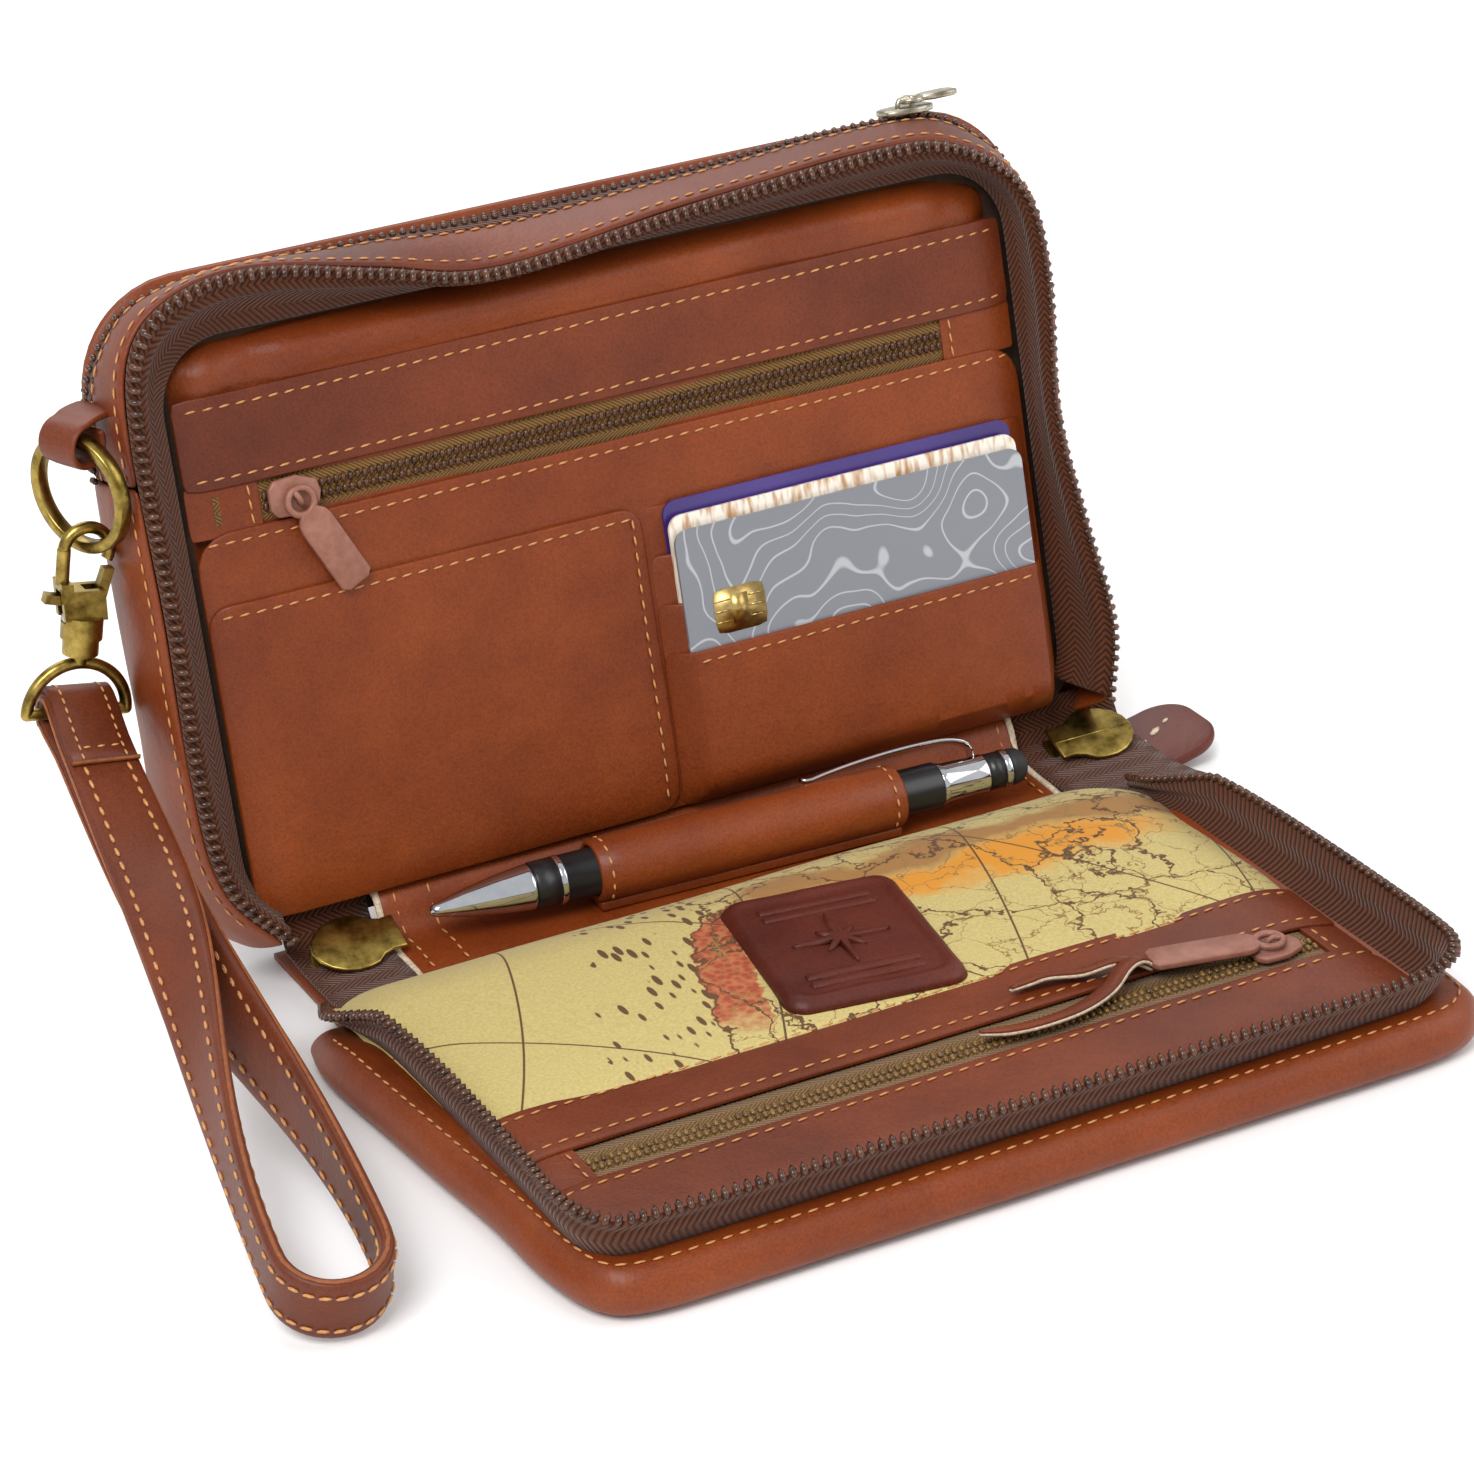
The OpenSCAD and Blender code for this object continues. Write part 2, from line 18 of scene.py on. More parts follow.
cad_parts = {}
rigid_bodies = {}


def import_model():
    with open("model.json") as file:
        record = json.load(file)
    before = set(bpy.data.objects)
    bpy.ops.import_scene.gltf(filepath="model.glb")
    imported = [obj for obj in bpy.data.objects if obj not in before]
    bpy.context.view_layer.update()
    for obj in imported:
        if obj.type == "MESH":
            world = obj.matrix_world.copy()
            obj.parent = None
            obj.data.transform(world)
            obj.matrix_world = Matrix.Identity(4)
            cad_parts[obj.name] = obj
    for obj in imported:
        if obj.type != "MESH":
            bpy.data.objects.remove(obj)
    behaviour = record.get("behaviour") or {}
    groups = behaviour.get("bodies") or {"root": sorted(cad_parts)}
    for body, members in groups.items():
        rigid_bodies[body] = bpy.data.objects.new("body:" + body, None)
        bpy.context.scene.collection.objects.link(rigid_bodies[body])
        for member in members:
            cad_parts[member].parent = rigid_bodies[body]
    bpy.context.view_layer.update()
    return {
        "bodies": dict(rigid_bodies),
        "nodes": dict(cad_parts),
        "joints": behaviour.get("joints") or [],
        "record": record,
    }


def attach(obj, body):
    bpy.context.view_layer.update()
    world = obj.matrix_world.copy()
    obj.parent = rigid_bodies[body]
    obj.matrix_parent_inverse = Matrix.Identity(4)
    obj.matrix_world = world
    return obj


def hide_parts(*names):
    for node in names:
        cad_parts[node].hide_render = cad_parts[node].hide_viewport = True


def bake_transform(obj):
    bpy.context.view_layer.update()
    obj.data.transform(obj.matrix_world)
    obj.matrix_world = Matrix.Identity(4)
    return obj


LOG = logging.getLogger("organizer")
MM = 0.001
FLAT = Matrix.Scale(MM, 4)
LEAN_DEG = 12
FOOT_RISE = 4
RIM_STEP = 4.0
CURVE_SAMPLES = 16
SHARP_EDGE = 0.6
BEVEL_ANGLE_DEG = 40
THREAD_HALF_WIDTH = 0.28
THREAD_HALF_HEIGHT = 0.25
THREAD_RISE = 0.12
FACE = (Matrix.Translation((0, 0, FOOT_RISE * MM))
        @ Matrix.Rotation(math.radians(-LEAN_DEG), 4, "X")
        @ Matrix.Rotation(math.radians(90), 4, "X") @ FLAT)


# ---------------------------------------------------------------- shared shape tools

def smooth_line(points: Sequence[Sequence[float]], step: float) -> list[Vector]:
    """Draws a smooth line through given points.

    Args:
        points: the points that the line passes through.
        step: the wanted distance between two returned points.

    Returns:
        Points at an even step along the line, both ends included.
    """
    pts = [Vector(p) for p in points]
    pts = [2 * pts[0] - pts[1], *pts, 2 * pts[-1] - pts[-2]]
    fine = []
    for a, b, c, d in zip(pts, pts[1:], pts[2:], pts[3:]):
        for k in range(CURVE_SAMPLES):
            t = k / CURVE_SAMPLES
            fine.append(0.5 * (2 * b + (c - a) * t + (2 * a - 5 * b + 4 * c - d) * t * t
                               + (3 * b - a - 3 * c + d) * t ** 3))
    fine.append(pts[-2])
    return even_line(fine, step)


def even_line(points: Sequence[Vector], step: float) -> list[Vector]:
    """Returns a broken line's points again at an even step, both ends included."""
    lengths = [0.0]
    for a, b in zip(points, points[1:]):
        lengths.append(lengths[-1] + (b - a).length)
    count = max(2, round(lengths[-1] / step))
    out, k = [], 0
    for i in range(count + 1):
        target = lengths[-1] * i / count
        while k < len(points) - 2 and lengths[k + 1] < target:
            k += 1
        share = (target - lengths[k]) / max(1e-9, lengths[k + 1] - lengths[k])
        out.append(points[k].lerp(points[k + 1], min(1.0, share)))
    return out


def round_corner(a: float, b: float, half_w: float, half_h: float, radius: float) -> Vector:
    """Moves a point of the square from -1 to 1 into a rectangle with round corners."""
    level = max(abs(a), abs(b), 1e-6)
    raw = Vector((a / level * half_w, b / level * half_h, 0))
    core = Vector((max(-half_w + radius, min(half_w - radius, raw.x)),
                   max(-half_h + radius, min(half_h - radius, raw.y)), 0))
    out = raw - core
    if out.length > 1e-6:
        raw = core + out.normalized() * radius
    return raw * level


def loft(bm: bmesh.types.BMesh, rows: Sequence[Sequence[Vector]], ring: bool = False,
         closed: bool = False) -> None:
    """Extrudes a line of edges from row to row, with UVs in metres along and across.

    Args:
        bm: the mesh that takes the faces.
        rows: lines of the same number of points.
        ring: joins each row's last point to its first.
        closed: joins the last row to the first.
    """
    layer = bm.loops.layers.uv.verify()
    first = [bm.verts.new(p) for p in rows[0]]
    count = len(first)
    pairs = [(k, (k + 1) % count) for k in range(count if ring else count - 1)]
    for i, j in pairs:
        bm.edges.new((first[i], first[j]))
    across = [0.0]
    for a, b in zip(rows[0], rows[0][1:]):
        across.append(across[-1] + (b - a).length * MM)
    place = {v: (0.0, across[k]) for k, v in enumerate(first)}
    line, along, made = first, 0.0, []
    for before, row in zip(rows, rows[1:]):
        along += (row[count // 2] - before[count // 2]).length * MM
        edges = [bm.edges.get((line[i], line[j])) for i, j in pairs]
        geom = bmesh.ops.extrude_edge_only(bm, edges=edges)["geom"]
        fresh = {g for g in geom if isinstance(g, bmesh.types.BMVert)}
        made += [g for g in geom if isinstance(g, bmesh.types.BMFace)]
        line = [next(o for e in v.link_edges if (o := e.other_vert(v)) in fresh) for v in line]
        for k, (v, p) in enumerate(zip(line, row)):
            v.co = p
            place[v] = (along, across[k])
    if closed:
        last = [bm.edges.get((line[i], line[j])) for i, j in pairs]
        start = [bm.edges.get((first[i], first[j])) for i, j in pairs]
        made += bmesh.ops.bridge_loops(bm, edges=last + start)["faces"]
    for face in made:
        for loop in face.loops:
            loop[layer].uv = place[loop.vert]


def padded_sheet(bm: bmesh.types.BMesh, centre: Sequence[float], half: Sequence[float],
                 radius: float, height: Callable[[float, float, float], float],
                 cells: Sequence[int] = (48, 32)) -> None:
    """Makes a sheet with round corners whose height follows a function.

    Args:
        bm: the mesh that takes the sheet.
        centre: the sheet's middle.
        half: its half-width and half-height.
        radius: its corner radius.
        height: takes x, y and the level from 0 in the middle to 1 at the rim.
        cells: how many cells it has each way.
    """
    layer = bm.loops.layers.uv.verify()
    made = bmesh.ops.create_grid(bm, x_segments=cells[0], y_segments=cells[1], size=1)["verts"]
    for v in made:
        level = max(abs(v.co.x), abs(v.co.y))
        spot = round_corner(v.co.x, v.co.y, half[0], half[1], radius)
        x, y = spot.x + centre[0], spot.y + centre[1]
        v.co = (x, y, height(x, y, level))
        for loop in v.link_loops:
            loop[layer].uv = (x * MM, y * MM)


def lathe(bm: bmesh.types.BMesh, profile: Sequence[Sequence[float]], place: Matrix,
          steps: int = 40) -> None:
    """Spins a profile of (position, radius) pairs round the local X axis.

    Args:
        bm: the mesh that takes the turned shape.
        profile: the pairs, from end to end; a radius of 0 closes an end.
        place: where the local X axis lies.
        steps: how many steps the spin takes.
    """
    before = set(bm.verts)
    verts = [bm.verts.new((x, r, 0)) for x, r in profile]
    edges = [bm.edges.new(pair) for pair in zip(verts, verts[1:])]
    bmesh.ops.spin(bm, geom=verts + edges, cent=(0, 0, 0), axis=(1, 0, 0), dvec=(0, 0, 0),
                   angle=math.tau, steps=steps, use_merge=True, use_duplicate=False)
    bmesh.ops.remove_doubles(bm, verts=[v for v in bm.verts if v not in before], dist=0.001)
    bmesh.ops.transform(bm, matrix=place, verts=[v for v in bm.verts if v not in before])


def plate(bm: bmesh.types.BMesh, outline: Sequence[Sequence[float]], low: float, high: float,
          soften: float, place: Matrix) -> None:
    """Makes a flat plate with softened edges from an outline.

    Args:
        bm: the mesh that takes the plate.
        outline: its corners, in order.
        low: the height of its lower face.
        high: the height of its upper face.
        soften: how far its edges are rounded; 0 leaves them sharp.
        place: where the plate lies.
    """
    face = bm.faces.new([bm.verts.new((x, y, low)) for x, y in outline])
    out = bmesh.ops.extrude_face_region(bm, geom=[face])["geom"]
    top = [g for g in out if isinstance(g, bmesh.types.BMVert)]
    bmesh.ops.translate(bm, vec=(0, 0, high - low), verts=top)
    made = [face, *{f for v in top for f in v.link_faces}]
    edges = list({e for f in made for e in f.edges})
    verts = {v for f in made for v in f.verts}
    if soften:
        sharp = [e for e in edges if e.calc_face_angle(0) > SHARP_EDGE]
        out = bmesh.ops.bevel(bm, geom=sharp, offset=soften, segments=2, profile=0.5,
                              affect="EDGES", material=-1)
        verts = {v for v in verts if v.is_valid} | set(out["verts"])
    bmesh.ops.transform(bm, matrix=place, verts=list(verts))


def bead(bm: bmesh.types.BMesh, at: Vector, along: Vector, up: Vector,
         size: Sequence[float]) -> None:
    """Adds one rounded bead: half its length, width and height along given directions."""
    side = up.cross(along).normalized()
    turn = Matrix((along.normalized(), side, along.normalized().cross(side))).transposed()
    place = Matrix.Translation(at) @ turn.to_4x4() @ Matrix.Diagonal((*size, 1))
    bmesh.ops.create_icosphere(bm, subdivisions=1, radius=1, matrix=place)


def stitches(bm: bmesh.types.BMesh, line: Sequence[Vector], up: Callable[[Vector], Vector],
             pitch: float = 3.6) -> None:
    """Sews a row of thread stitches along a line.

    Args:
        bm: the mesh that takes them.
        line: the row's course, on the leather's surface.
        up: gives the surface's outward direction at a point.
        pitch: the distance from one stitch to the next.
    """
    spots = even_line(line, pitch)
    for a, b in zip(spots, spots[1:]):
        normal = up(a).normalized()
        heading = (b - a).normalized()
        slant = heading + 0.1 * normal.cross(heading)
        bead(bm, a.lerp(b, 0.5) + THREAD_RISE * normal, slant, normal,
             (pitch * 0.38, THREAD_HALF_WIDTH, THREAD_HALF_HEIGHT))


def thickness(piece: bpy.types.Object, depth: float, offset: float = -1.0) -> None:
    """Gives a sheet its wall, in millimetres; offset -1 grows it behind its face."""
    wall = piece.modifiers.new("wall", "SOLIDIFY")
    wall.thickness, wall.offset, wall.use_even_offset = depth * MM, offset, True


def rounded_edges(piece: bpy.types.Object, width: float, segments: int = 2) -> None:
    """Rounds a piece's sharp edges with a live bevel, in millimetres."""
    soft = piece.modifiers.new("soft edges", "BEVEL")
    soft.width, soft.segments, soft.limit_method = width * MM, segments, "ANGLE"
    soft.angle_limit = math.radians(BEVEL_ANGLE_DEG)


def subdivide(piece: bpy.types.Object, levels: int = 1) -> None:
    """Smooths a piece with a subdivision surface."""
    smooth = piece.modifiers.new("smooth", "SUBSURF")
    smooth.levels = smooth.render_levels = levels


def finish_piece(bm: bmesh.types.BMesh, name: str, body: str, material: bpy.types.Material,
                 slot: str, place: Matrix = FLAT,
                 replaces: Sequence[str] = ()) -> bpy.types.Object:
    """Turns a bmesh into a finished piece that rides on a body.

    Args:
        bm: the mesh, in millimetres; it is freed.
        name: the piece's name.
        body: the CAD body that it rides on, or "" to leave it on no body, for a part that spans
            two.
        material: its finish.
        slot: the record's material slot meant for it; not used.
        place: turns the mesh into the row's frame, in metres.
        replaces: the CAD nodes that it stands for.

    Returns:
        The new object.
    """
    bmesh.ops.recalc_face_normals(bm, faces=bm.faces)
    bmesh.ops.transform(bm, matrix=place, verts=bm.verts)
    mesh = bpy.data.meshes.new(name)
    bm.to_mesh(mesh)
    bm.free()
    for polygon in mesh.polygons:
        polygon.use_smooth = True
    mesh.materials.append(material)
    piece = bpy.data.objects.new(name, mesh)
    bpy.context.scene.collection.objects.link(piece)
    if body:
        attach(piece, body)
    if replaces:
        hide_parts(*replaces)
    LOG.info("%s: %d faces", name, len(mesh.polygons))
    return piece


# ---------------------------------------------------------------- finishes

def linear(hex_colour: str) -> tuple[float, float, float, float]:
    """Turns an sRGB hex colour into linear red, green, blue and alpha."""
    parts = [int(hex_colour[k:k + 2], 16) / 255 for k in (1, 3, 5)]
    red, green, blue = (c / 12.92 if c <= 0.04045 else ((c + 0.055) / 1.055) ** 2.4 for c in parts)
    return red, green, blue, 1.0


def add_node(tree: bpy.types.NodeTree, kind: str, settings: dict | None = None,
             links: dict | None = None) -> bpy.types.Node:
    """Adds a shader node.

    Args:
        tree: the material's node tree.
        kind: the node's type, without its ShaderNode prefix.
        settings: values by property name, or by input name or number.
        links: output sockets by input name or number.

    Returns:
        The new node.
    """
    node = tree.nodes.new("ShaderNode" + kind)
    for key, value in (settings or {}).items():
        if isinstance(key, str) and hasattr(node, key):
            setattr(node, key, value)
        else:
            node.inputs[key].default_value = value
    for key, socket in (links or {}).items():
        tree.links.new(socket, node.inputs[key])
    return node


def ramp_colours(node: bpy.types.Node, stops: Sequence[tuple[float, str]]) -> None:
    """Sets a colour ramp's stops from positions and hex colours."""
    ramp = node.color_ramp
    while len(ramp.elements) < len(stops):
        ramp.elements.new(0.5)
    for element, (position, colour) in zip(ramp.elements, stops):
        element.position, element.color = position, linear(colour)


class Finish:
    """A surface finish that makes its material once."""

    name: str

    def shader(self) -> tuple[bpy.types.Material, bpy.types.NodeTree, bpy.types.Node]:
        """Returns a new material, its tree and its main shader."""
        material = bpy.data.materials.new(self.name)
        material.use_nodes = True
        tree = material.node_tree
        return material, tree, tree.nodes["Principled BSDF"]

    def material(self) -> bpy.types.Material:
        """Returns the finish's material, made on first use."""
        return bpy.data.materials.get(self.name) or self.build()

    def build(self) -> bpy.types.Material:
        """Makes the material."""
        raise NotImplementedError


@dataclass(frozen=True)
class Leather(Finish):
    """Full-grain cowhide, drum-dyed and lightly waxed: a soft sheen over fine pores."""

    name: str
    light: str
    dark: str
    grain: float = 0.9
    roughness: float = 0.42
    crease: float = 0.35

    def build(self) -> bpy.types.Material:
        """Makes the leather: cloudy dye, pores of the grain's size and faint creases."""
        material, tree, shader = self.shader()
        where = add_node(tree, "TexCoord").outputs["Object"]
        cloud = add_node(tree, "TexNoise", {"Scale": 28.0, "Detail": 5.0, "Roughness": 0.6},
                         {"Vector": where})
        # One grain cell is about a millimetre wide, so that it still shows at this size.
        cells = add_node(tree, "TexVoronoi",
                         {"feature": "SMOOTH_F1", "Scale": 1 / (self.grain * MM),
                          "Smoothness": 0.6}, {"Vector": where})
        fine = add_node(tree, "TexNoise", {"Scale": 1 / (0.5 * MM), "Detail": 2.0},
                        {"Vector": where})
        creases = add_node(tree, "TexNoise", {"Scale": 95.0, "Detail": 4.0, "Distortion": 0.7},
                           {"Vector": where})
        tone = add_node(tree, "ValToRGB", None, {"Fac": cloud.outputs["Fac"]})
        ramp_colours(tone, ((0.3, self.dark), (0.72, self.light)))
        speck = add_node(tree, "ValToRGB", None, {"Fac": fine.outputs["Fac"]})
        ramp_colours(speck, ((0.3, "#c8c8c8"), (0.62, "#ffffff")))
        mixed = add_node(tree, "Mix", {"data_type": "RGBA", "blend_type": "MULTIPLY",
                                       "Factor": 0.7},
                         {6: tone.outputs["Color"], 7: speck.outputs["Color"]})
        tree.links.new(mixed.outputs[2], shader.inputs["Base Color"])
        rough = add_node(tree, "MapRange", {"To Min": self.roughness - 0.08,
                                            "To Max": self.roughness + 0.12},
                         {"Value": fine.outputs["Fac"]})
        tree.links.new(rough.outputs["Result"], shader.inputs["Roughness"])
        low = add_node(tree, "Bump", {"Strength": self.crease, "Distance": 0.0009},
                       {"Height": creases.outputs["Fac"]})
        high = add_node(tree, "Bump", {"Strength": 0.16, "Distance": 0.0003},
                        {"Height": cells.outputs["Distance"], "Normal": low.outputs["Normal"]})
        tree.links.new(high.outputs["Normal"], shader.inputs["Normal"])
        shader.inputs["Specular IOR Level"].default_value = 0.3
        shader.inputs["Coat Weight"].default_value = 0.04
        shader.inputs["Coat Roughness"].default_value = 0.35
        return material


@dataclass(frozen=True)
class WovenTape(Finish):
    """Polyester zip tape in a herringbone weave: dull thread ridges in slanting bands."""

    name: str
    light: str
    dark: str
    band: float = 3.4
    rib: float = 1.5

    def build(self) -> bpy.types.Material:
        """Makes the tape: slanting ribs that turn back from band to band along its width, with
        painted shade in their grooves.
        """
        material, tree, shader = self.shader()
        uv = add_node(tree, "TexCoord").outputs["UV"]
        axes = add_node(tree, "SeparateXYZ", None, {"Vector": uv})
        fold = add_node(tree, "Math", {"operation": "PINGPONG", 1: self.band * MM},
                        {0: axes.outputs["Y"]})
        slant = add_node(tree, "Math", {"operation": "MULTIPLY_ADD", 1: 1.3},
                         {0: fold.outputs[0], 2: axes.outputs["X"]})
        # Ribs are drawn a little coarser than the real thread, so that they show.
        turns = add_node(tree, "Math", {"operation": "MULTIPLY", 1: math.tau / (self.rib * MM)},
                         {0: slant.outputs[0]})
        wave = add_node(tree, "Math", {"operation": "SINE"}, {0: turns.outputs[0]})
        rib = add_node(tree, "MapRange", {"From Min": -1.0}, {"Value": wave.outputs[0]})
        fuzz = add_node(tree, "TexNoise", {"Scale": 1900.0, "Detail": 2.0}, {"Vector": uv})
        both = add_node(tree, "Math", {"operation": "MULTIPLY_ADD", 1: 0.5},
                        {0: fuzz.outputs["Fac"], 2: rib.outputs["Result"]})
        # The colour follows the bump's height: the rib grooves are painted darker and the crests
        # lighter, painted shade and highlight on the weave over a random fuzz of tone.
        tone = add_node(tree, "ValToRGB", None, {"Fac": both.outputs[0]})
        ramp_colours(tone, ((0.2, self.dark), (1.0, self.light)))
        tree.links.new(tone.outputs["Color"], shader.inputs["Base Color"])
        bump = add_node(tree, "Bump", {"Strength": 0.7, "Distance": 0.0004},
                        {"Height": both.outputs[0]})
        tree.links.new(bump.outputs["Normal"], shader.inputs["Normal"])
        shader.inputs["Roughness"].default_value = 0.8
        shader.inputs["Sheen Weight"].default_value = 0.15
        shader.inputs["Specular IOR Level"].default_value = 0.15
        return material


@dataclass(frozen=True)
class Smooth(Finish):
    """A moulded, painted, spun or plated surface: one colour with fine wear and mottling."""

    name: str
    light: str
    dark: str
    roughness: float = 0.35
    metallic: float = 0.0
    patch: float = 6.0
    relief: float = 0.05

    def build(self) -> bpy.types.Material:
        """Makes the finish: mottled colour and roughness in patches of the given size."""
        material, tree, shader = self.shader()
        where = add_node(tree, "TexCoord").outputs["Object"]
        mottle = add_node(tree, "TexNoise", {"Scale": 1 / (self.patch * MM), "Detail": 6.0,
                                             "Roughness": 0.65}, {"Vector": where})
        tone = add_node(tree, "ValToRGB", None, {"Fac": mottle.outputs["Fac"]})
        ramp_colours(tone, ((0.35, self.dark), (0.65, self.light)))
        tree.links.new(tone.outputs["Color"], shader.inputs["Base Color"])
        rough = add_node(tree, "MapRange", {"To Min": self.roughness * 0.75,
                                            "To Max": self.roughness * 1.3},
                         {"Value": mottle.outputs["Fac"]})
        tree.links.new(rough.outputs["Result"], shader.inputs["Roughness"])
        bump = add_node(tree, "Bump", {"Strength": self.relief, "Distance": 0.0003},
                        {"Height": mottle.outputs["Fac"]})
        tree.links.new(bump.outputs["Normal"], shader.inputs["Normal"])
        shader.inputs["Metallic"].default_value = self.metallic
        return material


class CardPrint(Enum):
    """What a card's face is printed with."""

    PLAIN = "plain"
    WOOD = "wood"
    CONTOURS = "contours"


@dataclass(frozen=True)
class CardFace(Finish):
    """Laminated PVC card stock: a print under a clear, smooth film."""

    name: str
    ground: str
    ink: str
    print: CardPrint

    def build(self) -> bpy.types.Material:
        """Makes the card: its ground colour with contour lines, grain or a soft gradient."""
        material, tree, shader = self.shader()
        where = add_node(tree, "TexCoord").outputs["Object"]
        stretch = (60.0, 60.0, 8.0) if self.print is CardPrint.WOOD else (1.0, 1.0, 1.0)
        mapped = add_node(tree, "Mapping", {"Scale": stretch}, {"Vector": where})
        scale = 14.0 if self.print is CardPrint.WOOD else 33.0
        field = add_node(tree, "TexNoise", {"Scale": scale, "Detail": 1.5, "Roughness": 0.4},
                         {"Vector": mapped.outputs["Vector"]})
        if self.print is CardPrint.CONTOURS:
            steps = add_node(tree, "Math", {"operation": "MULTIPLY", 1: 17.0},
                             {0: field.outputs["Fac"]})
            wrap = add_node(tree, "Math", {"operation": "PINGPONG", 1: 0.5},
                            {0: steps.outputs[0]})
            mask = add_node(tree, "MapRange", {"From Min": 0.07, "From Max": 0.03},
                            {"Value": wrap.outputs[0]})
        else:
            mask = add_node(tree, "MapRange", {"From Min": 0.45, "From Max": 0.7},
                            {"Value": field.outputs["Fac"]})
        colour = add_node(tree, "Mix", {"data_type": "RGBA", 6: linear(self.ground),
                                        7: linear(self.ink)}, {"Factor": mask.outputs["Result"]})
        tree.links.new(colour.outputs[2], shader.inputs["Base Color"])
        shader.inputs["Roughness"].default_value = 0.3
        shader.inputs["Coat Weight"].default_value = 0.4
        return material


